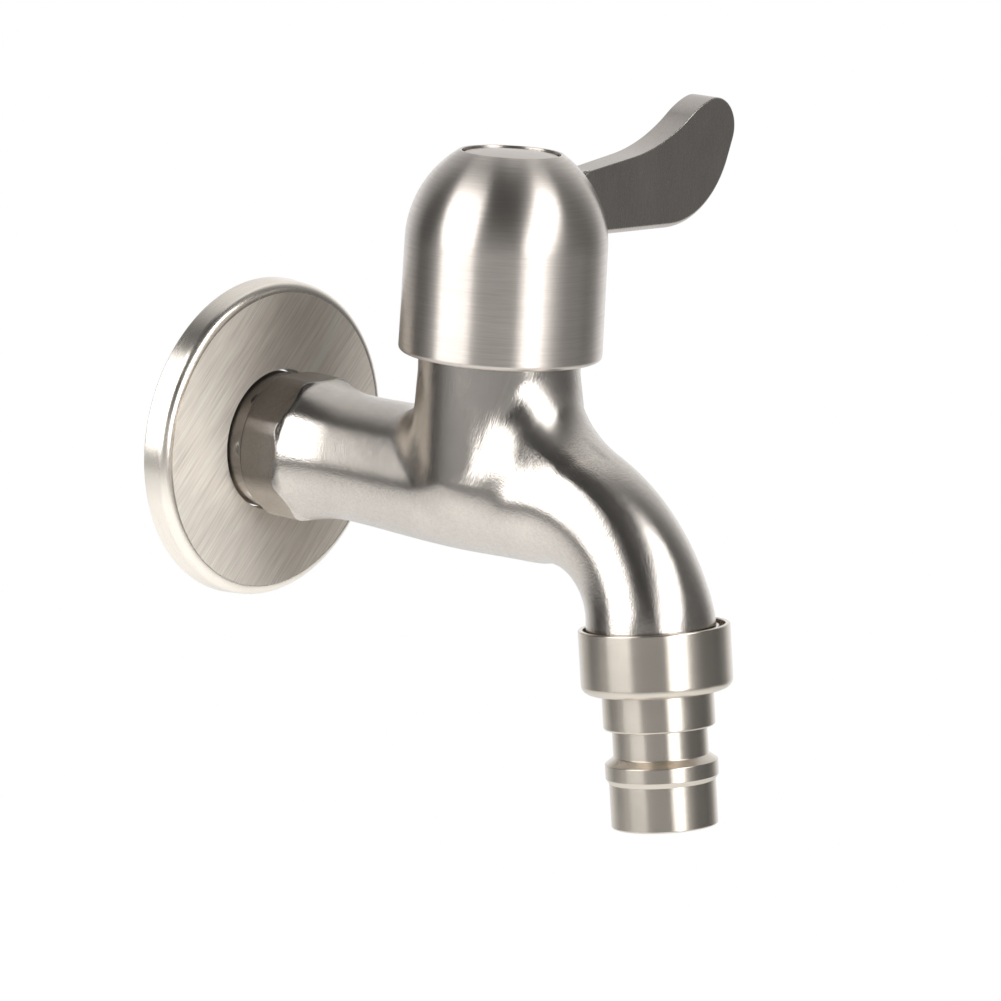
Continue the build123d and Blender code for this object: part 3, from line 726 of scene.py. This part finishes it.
def octagon_skin(sizes, segments=240):
    """The collar and the spanner's octagon with soft edges, running out into the round barrel."""
    flats, rounding, collar, waist, waist_radius = in_mm(
        sizes, "octagon_flats", "octagon_round", "collar_radius", "waist_x", "waist_radius"
    )
    apothem, eighth = flats / 2, pi / 8
    arc_at = (apothem - rounding) / cos(eighth)
    flats_end, inside, overlap, step = 16.0, 9.0, 0.35, 0.01
    collar_end, shoulder, shoulder_end = 6.9, 7.3, 10

    def section(a):
        """Radius of the octagon with rounded edges."""
        turn = abs((a + eighth) % (2 * eighth) - eighth)
        if turn <= atan2((apothem - rounding) * tan(eighth), apothem):
            return apothem / cos(turn)
        off = eighth - turn
        return arc_at * cos(off) + sqrt(rounding * rounding - (arc_at * sin(off)) ** 2)

    def flare(x):
        """Radius of the round casting that the flats are cut into."""
        if x >= waist:
            return waist_radius
        slow = waist_radius + (apothem - waist_radius) * ((waist - x) / (waist - flats_end)) ** 2
        return slow + 0.9 * max(flats_end - x, 0) ** 2

    def soft_least(first, second, reach):
        mix = max(reach - abs(first - second), 0) / reach
        return min(first, second) - mix * mix * reach / 4

    def radius(x, a):
        if x < collar_end:
            return collar
        full = soft_least(section(a), flare(x), 0.35)
        return soft_least(full, collar + max(0.0, x - shoulder), 0.4) if x < shoulder_end else full

    # Levels along the inlet: the collar, its shoulder, the flats and the run-out
    spans = ((1.2, collar_end, 5), (collar_end, 8.7, 16), (8.7, 15.0, 15), (15.0, waist + overlap, 47))
    levels = np.unique(np.concatenate([np.linspace(*span) for span in spans]))
    turns = [2 * pi * s / segments for s in range(segments)]
    points, tops, faces, corners = [], [], [], []
    for x in levels:
        for a in turns:
            r = radius(x, a)
            along = (radius(x + step, a) - radius(x - step, a)) / (2 * step)
            round_it = (radius(x, a + step / 10) - radius(x, a - step / 10)) / (step / 5) / r
            normal = Vector((-along, cos(a) + round_it * sin(a), sin(a) - round_it * cos(a)))
            r -= 0.03 * max(0.0, (x - waist) / overlap)
            points.append(Vector((x, r * cos(a), r * sin(a))))
            tops.append(normal.normalized())
    for x in (levels[-1], levels[0]):
        points += [Vector((x, inside * cos(a), inside * sin(a))) for a in turns]
        tops += [Vector((0, -cos(a), -sin(a))) for a in turns]
    rings = len(levels) + 2
    flat_rings = {len(levels) - 1: Vector((1, 0, 0)), rings - 1: Vector((-1, 0, 0))}
    for low in range(rings):
        here, there, flat = low * segments, (low + 1) % rings * segments, flat_rings.get(low)
        for s in range(segments):
            t = (s + 1) % segments
            face = (here + t, there + t, there + s, here + s)
            faces.append(face)
            corners += [flat or tops[i] for i in face]
    return points, faces, corners


def male_thread(name, sizes, run, hole, material):
    """A threaded sleeve along +X from the origin, its outer end bevelled, made by geometry nodes."""
    tree = bpy.data.node_groups.new("male_thread", "GeometryNodeTree")
    for in_out in ("INPUT", "OUTPUT"):
        tree.interface.new_socket("Geometry", in_out=in_out, socket_type="NodeSocketGeometry")
    values = {
        "Crest radius": sizes.thread_radius,
        "Depth": sizes.thread_depth,
        "Pitch": sizes.thread_pitch,
        "Lead": sizes.thread_lead,
        "Length": run,
        "Bore": hole,
    }
    for label in values:
        tree.interface.new_socket(label, in_out="INPUT", socket_type="NodeSocketFloat")
    tree.interface.new_socket("Material", in_out="INPUT", socket_type="NodeSocketMaterial")
    given = add(tree, "NodeGroupInput")
    radius, depth, pitch, lead, length_, bore = (Value(tree, given.outputs[label]) for label in values)
    rows_a_turn, turns = 18, 97
    rows = int(ceil(run / sizes.thread_pitch * rows_a_turn)) + 4
    inputs = {"Size X": 1.0, "Size Y": 1.0, "Vertices X": rows, "Vertices Y": turns}
    grid = value(tree, "GeometryNodeMeshGrid", inputs, "Mesh")
    split = add(tree, "ShaderNodeSeparateXYZ", {"Vector": value(tree, "GeometryNodeInputPosition")})
    row = ((Value(tree, split.outputs[0]) + 0.5) * (rows - 1)).to("ROUND")
    turn = (Value(tree, split.outputs[1]) + 0.5) * (2 * pi)
    # The first row, and the last two, lie on the bore; the others share out the length
    reach = ((row - 1.0) / (rows - 4)).clamped() * length_ * row.to("LESS_THAN", rows - 1.5)
    inner = row.to("LESS_THAN", 0.5).to("MAXIMUM", row.to("GREATER_THAN", rows - 2.5))
    wave = ((reach / pitch * (2 * pi) - turn).to("COSINE") * 0.62 + 0.5).clamped()
    fade = ((length_ - reach) / pitch).clamped()
    outside = (radius - (1.0 - wave) * (fade * depth)).to("MINIMUM", radius - lead + reach)
    across = outside + inner * (bore - outside)
    inputs = {"X": reach, "Y": across * turn.to("COSINE"), "Z": across * turn.to("SINE")}
    made = value(
        tree, "GeometryNodeSetPosition", {"Geometry": grid, "Position": value(tree, "ShaderNodeCombineXYZ", inputs)}
    )
    made = value(tree, "GeometryNodeMergeByDistance", {"Geometry": made, "Distance": 1e-7})
    made = value(tree, "GeometryNodeRealizeInstances", {"Geometry": made})
    inputs = {"Geometry": made, "Material": given.outputs["Material"]}
    add(tree, "NodeGroupOutput", {"Geometry": value(tree, "GeometryNodeSetMaterial", inputs)})

    carrier = placed(name + "_carrier", bpy.data.meshes.new(name + "_carrier"))
    modifier = carrier.modifiers.new("thread", "NODES")
    modifier.node_group = tree
    sockets = {item.name: item.identifier for item in tree.interface.items_tree if item.in_out == "INPUT"}
    for label, size in values.items():
        modifier[sockets[label]] = size
    modifier[sockets["Material"]] = material
    evaluated = carrier.evaluated_get(bpy.context.evaluated_depsgraph_get())
    mesh = bpy.data.meshes.new_from_object(evaluated)
    bpy.data.objects.remove(carrier)
    mesh.name = name
    face_outwards(mesh)
    mesh.set_sharp_from_angle(angle=radians(50))
    return placed(name, mesh)


def casting(scene):
    """Satin steel of the body: brushed round the barrel and the spout, and up along the neck, with painted shade on
    the upper flats.
    """
    finish, sizes = scene.tap_finish, scene.tap_body
    material, tree, bsdf, place = shader("satin_casting")
    split = add(tree, "ShaderNodeSeparateXYZ", {"Vector": place})
    x, y, z = (Value(tree, socket) for socket in split.outputs)
    # On the neck: near the bonnet axis and above the barrel
    aside = x - sizes.bonnet_x
    near = (aside * aside + y * y).to("SQRT")
    outside_neck, on_neck, under_barrel, over_barrel = 16.5 * mm, 13.8 * mm, -4 * mm, 4 * mm
    neck = ranged(tree, near, outside_neck, on_neck) * ranged(tree, z, under_barrel, over_barrel)
    # Round the bend: from its centre out to the middle of the spout, then on to the skin
    from_centre = value(tree, "ShaderNodeCombineXYZ", {"X": x - sizes.bend_x, "Z": z - sizes.bend_z})
    out = vector(tree, "NORMALIZE", from_centre)
    spoke = vector(tree, "SUBTRACT", place, (sizes.bend_x, 0, sizes.bend_z))
    spoke = vector(tree, "SUBTRACT", spoke, scaled(tree, out, sizes.bend_radius))
    run = vector(tree, "CROSS_PRODUCT", (0, 1, 0), out)
    bend_lines = vector(tree, "NORMALIZE", vector(tree, "CROSS_PRODUCT", run, spoke))
    barrel_lines = vector(tree, "NORMALIZE", vector(tree, "CROSS_PRODUCT", (1, 0, 0), place))
    direction = blend(tree, x.to("GREATER_THAN", sizes.bend_x), barrel_lines, bend_lines)
    slant = Vector((0.20, 0.16, 0.96)).normalized()
    upwards = vector(tree, "DOT_PRODUCT", direction, tuple(slant)).to("SIGN")
    direction = blend(tree, neck, scaled(tree, direction, upwards), (*slant, 1))
    turn = (0, -asin(slant.z), atan2(slant.y, slant.x))
    beads = even_grain(tree, place, 0.28, detail=3.0) * 0.7 + even_grain(tree, place, 0.9) * 0.3
    strokes = grain(tree, place, turn, (5.0, 0.18, 0.18)) * 0.6 + grain(tree, place, turn, (12.0, 0.5, 0.5)) * 0.4
    pattern = value(tree, "ShaderNodeMix", {0: neck, 2: beads, 3: strokes}, data_type="FLOAT")
    # Painted shade: the colour of the flats for the spanner is darkened, beyond the thread and down to just under
    # the middle
    painted_shade_share = 0.58
    flats = ranged(tree, x, 16.4 * mm, 15.4 * mm, "LINEAR") * ranged(tree, z, -7 * mm, -4.5 * mm, "LINEAR")
    flats = flats * ranged(tree, x, 0.5 * mm, 1.5 * mm, "LINEAR")
    roughness = neck * -0.02 + finish.body_roughness
    cloud = even_grain(tree, place, 12.0, detail=3.0)
    brush(tree, bsdf, finish.body, roughness, pattern, cloud, 0.5, 0.25, 0.04, painted_shade=1.0 - flats * painted_shade_share)
    comb(tree, bsdf, 0.78, direction)
    return material


class TAP_OT_flange(Operator):
    """Build the pressed cover on the wall"""

    bl_idname = "tap.flange"
    bl_label = "Wall flange"

    def execute(self, context):
        sizes = context.scene.tap_flange
        finish = context.scene.tap_finish
        radius, depth, sheet, hole, lip = in_mm(sizes, "radius", "depth", "sheet", "hole_radius", "lip")
        draft = 0.45
        corners = [(radius, 0.0, 0.25), (radius - draft, depth, 1.75), (hole, depth, 0.3)]
        corners += [(hole, depth - lip, 0.15), (hole + sheet, depth - lip, 0.15), (hole + sheet, depth - sheet, 0.2)]
        corners += [(radius - draft - sheet, depth - sheet, 1.0), (radius - sheet, 0.0, 0.25)]
        made = turned("flange_cover", outline(corners, steps=10), (0, 0, 0), (1, 0, 0), 256)
        face = steel(
            "brushed_sheet",
            finish.flange,
            finish.flange_roughness,
            turn=(0, radians(-48), radians(90)),
            fine=(7.0, 0.22),
            coarse=(20.0, 0.5),
            strength=0.8,
            relief=0.03,
            combed=0.97,
            shine_turn=(0, radians(-58), radians(90)),
        )
        settle(made, "flange", "flange_steel", face, "wall_flange")
        rim = steel(
            "pressed_rim",
            finish.flange,
            finish.rim_roughness,
            turn=(0, radians(90), 0),
            around=True,
            fine=(5.0, 0.3),
            coarse=(9.0, 2.0),
            strength=0.25,
            relief=0.006,
            combed=0.3,
        )
        made.data.materials.append(rim)
        rim_start = sizes.radius - sizes.rounding - 0.3 * mm
        for polygon in made.data.polygons:
            polygon.material_index = int(polygon.center.yz.length > rim_start)
        return {"FINISHED"}


class TAP_OT_nut(Operator):
    """Turn the union nut"""

    bl_idname = "tap.nut"
    bl_label = "Union nut"

    def execute(self, context):
        sizes = context.scene.tap_spout
        radius, height, rounding = in_mm(sizes, "nut_radius", "nut_height", "nut_round")
        mouth, thread, hole, lip = 11.5, 10.53, 9.1, 1.7
        corners = [(mouth, 0, 0.15), (mouth, lip, 0.1), (thread, lip, 0.1), (thread, height - lip, 0.1)]
        corners += [(hole, height - lip, 0.1), (hole, height, 0.15), (radius, height, rounding), (radius, 0, 0.25)]
        made = turned("union_nut", outline(corners, steps=6), *outlet(context.scene))
        settle(made, "nut", "turned_steel", turned_steel("turned_nut", context.scene), "spout_nut")
        return {"FINISHED"}


class TAP_OT_nozzle(Operator):
    """Turn the nozzle for the hose"""

    bl_idname = "tap.nozzle"
    bl_label = "Hose nozzle"

    def execute(self, context):
        tube, end = in_mm(context.scene.tap_spout, "tube_radius", "nozzle_end")
        bore, flange, collar, groove, ring = 6.5, 10.2, 9.05, 7.7, 9.15
        # Levels down the axis from the nut's upper edge
        seat, flange_end, collar_end, ring_start, ring_top, ring_end, step = 7.2, 8.7, 16.3, 20.9, 21.95, 24.3, 25.1
        corners = [(bore, seat, 0.1), (bore, end, 0.3), (tube, end, 0.3), (tube, step, 0.15)]
        corners += [(ring, ring_end, 0.15), (ring, ring_top, 0.15), (groove, ring_start, 0.12)]
        corners += [(groove, collar_end, 0.12), (collar, collar_end, 0.35), (collar, flange_end, 0.1)]
        corners += [(flange, flange_end, 0.15), (flange, seat, 0.15)]
        made = turned("stepped_nozzle", outline(corners), *outlet(context.scene))
        settle(made, "nozzle", "nozzle_steel", turned_steel("turned_nozzle", context.scene), "hose_nozzle")
        return {"FINISHED"}


def dome_arc(sizes, top_radius=8.5, lower_round=0.15):
    """Radius, level and bend of the dome's shoulder in millimetres, and how far round it reaches in degrees."""
    rim, top, bend = in_mm(sizes, "rim_radius", "top", "arc_radius")
    middle = rim - lower_round - bend
    turn = degrees(acos((top_radius - middle) / bend))
    return middle, top - bend * sin(radians(turn)), bend, turn


class TAP_OT_dome(Operator):
    """Turn the dome of the handle and the disc in its top"""

    bl_idname = "tap.dome"
    bl_label = "Dome and plug"

    def execute(self, context):
        sizes = context.scene.tap_handle
        finish = context.scene.tap_finish
        place, upright = (context.scene.tap_body.bonnet_x, 0, 0), (0, 0, 1)
        rim, bottom, top, disc, crown = in_mm(sizes, "rim_radius", "bottom", "top", "plug_radius", "plug_crown")
        middle, level, bend, turn = dome_arc(sizes)
        wall, ceiling = 2.0, 46.5
        inner = bend - wall
        # Radii and levels of the room for the plug, the screw, its hole, the insert and the hub round it
        pocket, pocket_floor, head, head_floor, hole = 8.1, 52.4, 4.5, 48.8, 2.2
        insert, insert_top, hub, hub_end = 6.2, 46.9, 8.2, 38.4
        corners = [(rim, bottom, 0.8), arc((middle, level), bend, 0, turn, 40), (pocket, top, 0.12)]
        corners += [(pocket, pocket_floor, 0.1), (head, pocket_floor, 0.1), (head, head_floor, 0.1)]
        corners += [(hole, head_floor, 0.1), (hole, insert_top, 0.1), (insert, insert_top, 0.1)]
        corners += [(insert, hub_end, 0.1), (hub, hub_end, 0.1), (hub, ceiling, 0.1)]
        corners += [arc((middle, level), inner, degrees(asin((ceiling - level) / inner)), 0, 12, inwards=True)]
        corners += [(rim - wall, bottom, 0.15)]
        made = turned("brushed_dome", outline(corners, steps=6), place, upright, 256)
        material = steel(
            "brushed_dome",
            finish.dome,
            finish.dome_roughness,
            centre=place,
            around=True,
            fine=(5.0, 0.16),
            coarse=(12.0, 0.5),
            combed=0.85,
        )
        settle(made, "handle", "dome_steel", material, "handle_dome")

        foot, under, edge, fillet = 7.0, 54.1, 55.2, 0.2
        bulge = (disc * disc + crown * crown) / (2 * crown)
        spread = degrees(asin(disc / bulge))
        marks = [Vector(mark) for mark in ((0, 52.7), (foot, 52.7), (foot, under), (disc, under), (disc, edge))]
        profile = [(marks[0], Vector((0, -1)))]
        for before, here, after in zip(marks, marks[1:], marks[2:]):
            profile += corner(before, here, after, 0.1, 4)
        profile += arc((disc - fillet, edge - fillet), fillet, 0, 90 - spread, 5)
        profile += arc((0, edge + crown - bulge), bulge, 90 - spread * 0.97, 90, 10)
        made = turned_solid("dome_plug", profile, place, upright)
        material = steel(
            "satin_disc",
            finish.dome,
            finish.dome_roughness,
            centre=place,
            turn=(radians(90), 0, radians(20)),
            fine=(4.0, 0.16),
            strength=0.15,
            relief=0.004,
            combed=0.5,
        )
        settle(made, "handle", "plug_steel", material, "cap_plug")
        return {"FINISHED"}


def turned_solid(name, profile, origin, axis, segments=192):
    """A turned piece whose outline starts and ends on the axis; its two poles are closed."""
    made = turned(name, profile, origin, axis, segments)
    shape = bmesh.new()
    shape.from_mesh(made.data)
    bmesh.ops.remove_doubles(shape, verts=shape.verts, dist=1e-7)
    bmesh.ops.delete(shape, geom=[edge for edge in shape.edges if not edge.link_faces], context="EDGES")
    shape.to_mesh(made.data)
    shape.free()
    return made


def tangent_arc(start, direction, end, steps):
    """Points and outward normals of an arc from start, along the direction, to end, and its last direction."""
    chord = end - start
    left = Vector((-direction.y, direction.x))
    bend = chord.length_squared / (2 * chord.dot(left))
    middle = start + left * bend
    first, last = start - middle, end - middle
    sweep = atan2(first.x * last.y - first.y * last.x, first.dot(last))
    if bend > 0 > sweep:
        sweep += 2 * pi
    if bend < 0 < sweep:
        sweep -= 2 * pi
    made = []
    for i in range(1, steps + 1):
        a = sweep * i / steps
        spoke = Vector((first.x * cos(a) - first.y * sin(a), first.x * sin(a) + first.y * cos(a)))
        made.append((middle + spoke, spoke.normalized() * (1 if bend > 0 else -1)))
    out = made[-1][1]
    return made, Vector((-out.y, out.x))


def lever_side(sizes):
    """Side outline of the lever with its edge roundings, and where its upper edge starts and leads."""
    bottom, lower_end, upper_end, sink = 40.6, 39.3, 14.2, 0.9
    middle, level, bend, _ = dome_arc(sizes)
    # Just inside the dome's wall at the lower edge
    sunk = middle + sqrt(bend**2 - max(0.0, bottom - level) ** 2) - sink
    path = [(Vector((sunk + (lower_end - sunk) * i / 12, bottom)), Vector((0, -1))) for i in range(13)]
    edges = [1.05] * len(path)
    direction = Vector((1, 0))
    # Where each arc ends, its steps, and the rounding of the edge there
    for end, steps, edge in (
        ((54.3, 51.4), 22, 0.5),
        ((55.5, 55.1), 4, 0.4),
        ((48.5, 62.0), 26, 0.3),
        ((43.7, 59.5), 8, 0.2),
        ((28.9, 53.3), 14, 0.2),
    ):
        made, direction = tangent_arc(path[-1][0], direction, Vector(end), steps)
        path += made
        edges += [edges[-1] + (edge - edges[-1]) * (i + 1) / steps for i in range(steps)]
    start = path[-1][0]
    top = start + direction * ((upper_end - start.x) / direction.x)
    path += [(start.lerp(top, i / 8), path[-1][1]) for i in range(1, 9)]
    return path, edges + [0.2] * 8, start, direction


class TAP_OT_lever(Operator):
    """Build the lever, a flat plate with a soft lower edge, and the weld at its root"""

    bl_idname = "tap.lever"
    bl_label = "Lever"

    def execute(self, context):
        finish = context.scene.tap_finish
        bonnet = context.scene.tap_body.bonnet_x / mm
        path, edges, start, direction = lever_side(context.scene.tap_handle)
        root, tip = in_mm(context.scene.tap_handle, "lever_root", "lever_tip")
        root_y, tip_y = 10.0, 55.8
        slope = (tip - root) / 2 / (tip_y - root_y)

        def half(y):
            """Half the thickness of the plate."""
            return root / 2 + slope * (y - root_y)

        lean = sqrt(1 + slope * slope)
        rounds = 6
        points, normals, faces = [], [], []
        for (point, out), edge in zip(path, edges):
            for side in (1, -1):
                for i in range(rounds + 1):
                    a = pi / 2 * i / rounds if side > 0 else pi / 2 * (1 - i / rounds)
                    x = side * (half(point.x) - edge * (1 - cos(a)))
                    at = point - out * edge * (1 - sin(a))
                    points.append(Vector((bonnet + x, at.x, at.y)))
                    flat = Vector((side, -slope, 0)) / lean
                    normals.append((flat * cos(a) + Vector((0, out.x, out.y)) * sin(a)).normalized())
        width, count = 2 * (rounds + 1), len(path)
        for i in range(count):
            here, there = i * width, (i + 1) % count * width
            for j in range(width - 1):
                faces.append((here + j, here + j + 1, there + j + 1, there + j))
        for j in (0, width - 1):
            loop = [Vector((points[i * width + j].y, points[i * width + j].z, 0)) for i in range(count)]
            faces += [tuple(k * width + j for k in t) for t in tessellate_polygon([loop])]
        made = piece("lever_plate", [p * mm for p in points], faces)
        face_outwards(made.data)
        made.data.normals_split_custom_set_from_vertices([tuple(n) for n in normals])
        material = steel(
            "satin_lever",
            finish.lever,
            finish.lever_roughness,
            turn=(0, pi / 2, 0),
            fine=(3.0, 0.2),
            coarse=(9.0, 0.8),
            strength=0.3,
            relief=0.006,
            combed=0.4,
        )
        settle(made, "handle", "lever_steel", material, "lever_blade")

        # The weld, a lumpy bead along the upper edge at the root, thinner away from the dome
        bead_start, bead_length, stations, ring = 12.4, 6.3, 30, 14
        rng = np.random.default_rng(7)
        lumps = rng.uniform(0.75, 1.25, (stations, ring))
        lumps = (lumps + np.roll(lumps, 1, 0) + np.roll(lumps, 1, 1) + np.roll(lumps, -1, 1)) / 4
        points, faces = [], []
        for i in range(stations):
            t = i / (stations - 1)
            y = bead_start + bead_length * t
            level = start.y + (y - start.x) * direction.y / direction.x
            centre = Vector((bonnet + half(y) - 0.35 - 0.5 * (1 - t), y, level - 0.18 - 0.25 * (1 - t)))
            size = (0.75 * (1 - t) ** 0.8 + 0.28) * (1 if t < 0.9 else (1 - t) / 0.1 * 0.9 + 0.1)
            for j in range(ring):
                a = 2 * pi * j / ring
                points.append((centre + Vector((cos(a), 0.0, sin(a))) * size * lumps[i][j]) * mm)
        for i in range(stations - 1):
            for j in range(ring):
                k = (j + 1) % ring
                faces.append((i * ring + j, i * ring + k, (i + 1) * ring + k, (i + 1) * ring + j))
        faces += [tuple(range(ring)), tuple((stations - 1) * ring + j for j in range(ring))]
        weld = piece("lever_weld", points, faces)
        face_outwards(weld.data)
        bright = plain("ground_weld", (0.70, 0.68, 0.62), 0.2, metallic=1.0, speck=0.5, strength=0.3, relief=0.05)
        settle(weld, "handle", "lever_steel", bright)
        return {"FINISHED"}


class TAP_OT_cartridge(Operator):
    """Give the inner parts their finishes"""

    bl_idname = "tap.cartridge"
    bl_label = "Cartridge and seals"

    def execute(self, context):
        finish = context.scene.tap_finish
        brass = plain("machined_brass", finish.brass, 0.32, metallic=1.0)
        rubber = plain("black_rubber", finish.rubber, 0.75, strength=0.3)
        bright = plain("bright_steel", (0.58, 0.57, 0.56), 0.28, metallic=1.0)
        white = plain("slip_plastic", (0.85, 0.84, 0.80), 0.5)
        dark = plain("dark_ceramic", (0.20, 0.20, 0.22), 0.18)
        pale = plain("white_ceramic", (0.88, 0.87, 0.84), 0.2)
        for material, nodes in (
            (brass, "cartridge_housing spline_insert cartridge_stem"),
            (rubber, "nozzle_gasket plug_ring housing_gasket stem_orings seat_seal"),
            (bright, "handle_screw spring_washer stem_clip seat_ring"),
            (white, "slip_washer"),
            (dark, "moving_disc"),
            (pale, "fixed_disc"),
        ):
            for node in nodes.split():
                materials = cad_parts[node].data.materials
                materials.clear()
                materials.append(material)
        return {"FINISHED"}


class TAP_OT_stage(Operator):
    """Set up the camera, the lights, the backdrop and the floor"""

    bl_idname = "tap.stage"
    bl_label = "Studio"

    def execute(self, context):
        scene = context.scene
        studio = scene.tap_studio
        a, e, roll = studio.azimuth, studio.elevation, studio.roll
        back = Vector((sin(a) * cos(e), -cos(a) * cos(e), sin(e)))
        right = Vector((cos(a), sin(a), 0))
        up = back.cross(right)
        eye = back * studio.distance + right * studio.aside + up * studio.lift
        data = bpy.data.cameras.new("camera")
        data.lens = studio.lens
        data.sensor_width = 36
        data.clip_start, data.clip_end = 0.05, 50
        camera = placed("camera", data)
        columns = (right * cos(roll) + up * sin(roll), up * cos(roll) - right * sin(roll), back, eye)
        camera.matrix_world = Matrix([(*row,) for row in zip(*columns)] + [(0, 0, 0, 1)])
        scene.camera = camera
        scene.view_settings.view_transform = "Standard"

        level_back = Vector((sin(a), -cos(a), 0))

        def towards(turn, rise):
            """Direction from the tap, by degrees right of the camera and above the level."""
            t, h = radians(turn), radians(rise)
            return (level_back * cos(t) + right * sin(t)) * cos(h) + Vector((0, 0, sin(h)))

        aim, reach = Vector((0.055, 0, 0.01)), 0.6
        for name, turn, rise, lean, width, height, energy in (
            ("left_light", -58.6, 21.8, 7, 0.47, 0.66, studio.left_power),
            ("right_light", 44, 23.3, -32, 0.31, 0.81, studio.right_power),
        ):
            lamp = bpy.data.lights.new(name, "AREA")
            lamp.shape = "RECTANGLE"
            lamp.size, lamp.size_y = width, height
            lamp.energy = energy
            out = towards(turn, rise)
            facing = out.to_track_quat("Z", "Y").to_matrix() @ Matrix.Rotation(radians(lean), 3, "Z")
            placed(name, lamp).matrix_world = Matrix.Translation(aim + out * reach) @ facing.to_4x4()

        world = bpy.data.worlds.new("studio")
        world.use_nodes = True
        tree = world.node_tree
        tree.nodes.clear()
        direction = value(tree, "ShaderNodeTexCoord", output="Generated")
        front, side, rise = (
            vector(tree, "DOT_PRODUCT", direction, part) for part in (level_back, right, (0, 0, 1))
        )
        # Grey of the room by the turn from the camera: near the level, and above it
        place = side.to("ARCTAN2", front) / (2 * pi) + 0.5
        low = ((-180, 1.0), (-150, 0.85), (-128, 0.4), (-114, 0.07), (-96, 0.07), (-80, 0.3), (-28, 0.36))
        low += ((20, 0.36), (60, 0.28), (75, 0.16), (108, 0.12), (125, 0.25), (145, 0.8), (160, 1.0), (180, 1.0))
        high = ((-180, 0.8), (-150, 0.6), (-126, 0.3), (-114, 0.1), (-94, 0.08), (-28, 0.05), (20, 0.05))
        high += ((60, 0.12), (75, 0.16), (108, 0.16), (125, 0.3), (145, 0.7), (160, 0.9), (180, 0.8))
        room = blend(tree, ranged(tree, rise, 0.08, 0.3), ramp(tree, place, low), ramp(tree, place, high))
        around = blend(tree, ranged(tree, rise, -0.3, -0.5), room, (1, 1, 1, 1))
        camera_ray = value(tree, "ShaderNodeLightPath", output="Is Camera Ray")
        seen = blend(tree, camera_ray, around, (*studio.white, 1))
        sky = value(tree, "ShaderNodeBackground", {"Color": seen, "Strength": 1.0})
        add(tree, "ShaderNodeOutputWorld", {"Surface": sky})
        scene.world = world

        half = 0.9
        corners = [(x * half, y * half, studio.floor_level) for x, y in ((-1, -1), (1, -1), (1, 1), (-1, 1))]
        floor = piece("floor", corners, [(0, 1, 2, 3)])
        material, tree, bsdf, _ = shader("pale_floor")
        bsdf.inputs["Base Color"].default_value = (0.82, 0.82, 0.81, 1)
        bsdf.inputs["Roughness"].default_value = 0.6
        bsdf.inputs["Specular IOR Level"].default_value = 0.2
        bsdf.inputs["Emission Color"].default_value = (*studio.white, 1)
        path = add(tree, "ShaderNodeLightPath")
        glossy = Value(tree, path.outputs["Is Glossy Ray"])
        mirrored = glossy.to("MAXIMUM", path.outputs["Is Transmission Ray"])
        feed(tree, bsdf.inputs["Emission Strength"], mirrored * 0.5 + path.outputs["Is Camera Ray"])
        floor.data.materials.append(material)
        return {"FINISHED"}


pieces = (
    TAP_OT_body,
    TAP_OT_flange,
    TAP_OT_nut,
    TAP_OT_nozzle,
    TAP_OT_dome,
    TAP_OT_lever,
    TAP_OT_cartridge,
    TAP_OT_stage,
)
groups = {
    "tap_body": TapBodySizes,
    "tap_spout": TapSpoutSizes,
    "tap_flange": TapFlangeSizes,
    "tap_handle": TapHandleSizes,
    "tap_finish": TapFinish,
    "tap_studio": TapStudio,
}


class TAP_PT_panel(Panel):
    """Sizes, finishes and pieces of the tap"""

    bl_idname = "TAP_PT_panel"
    bl_label = "Tap"
    bl_space_type = "VIEW_3D"
    bl_region_type = "UI"
    bl_category = "Tap"

    def draw(self, context):
        for operator in pieces:
            self.layout.operator(operator.bl_idname)
        for name in groups:
            group = getattr(context.scene, name)
            box = self.layout.box()
            box.label(text=name.replace("_", " ").capitalize())
            for field in group.__annotations__:
                box.prop(group, field)


def register():
    for group in groups.values():
        bpy.utils.register_class(group)
    for operator in pieces:
        bpy.utils.register_class(operator)
    bpy.utils.register_class(TAP_PT_panel)
    for name, group in groups.items():
        setattr(bpy.types.Scene, name, PointerProperty(type=group))


def unregister():
    for name in groups:
        delattr(bpy.types.Scene, name)
    bpy.utils.unregister_class(TAP_PT_panel)
    for operator in reversed(pieces):
        bpy.utils.unregister_class(operator)
    for group in reversed(groups.values()):
        bpy.utils.unregister_class(group)


def main():
    register()
    for build in (
        bpy.ops.tap.stage,
        bpy.ops.tap.body,
        bpy.ops.tap.flange,
        bpy.ops.tap.nut,
        bpy.ops.tap.nozzle,
        bpy.ops.tap.dome,
        bpy.ops.tap.lever,
        bpy.ops.tap.cartridge,
    ):
        build()


if __name__ == "__main__":
    main()
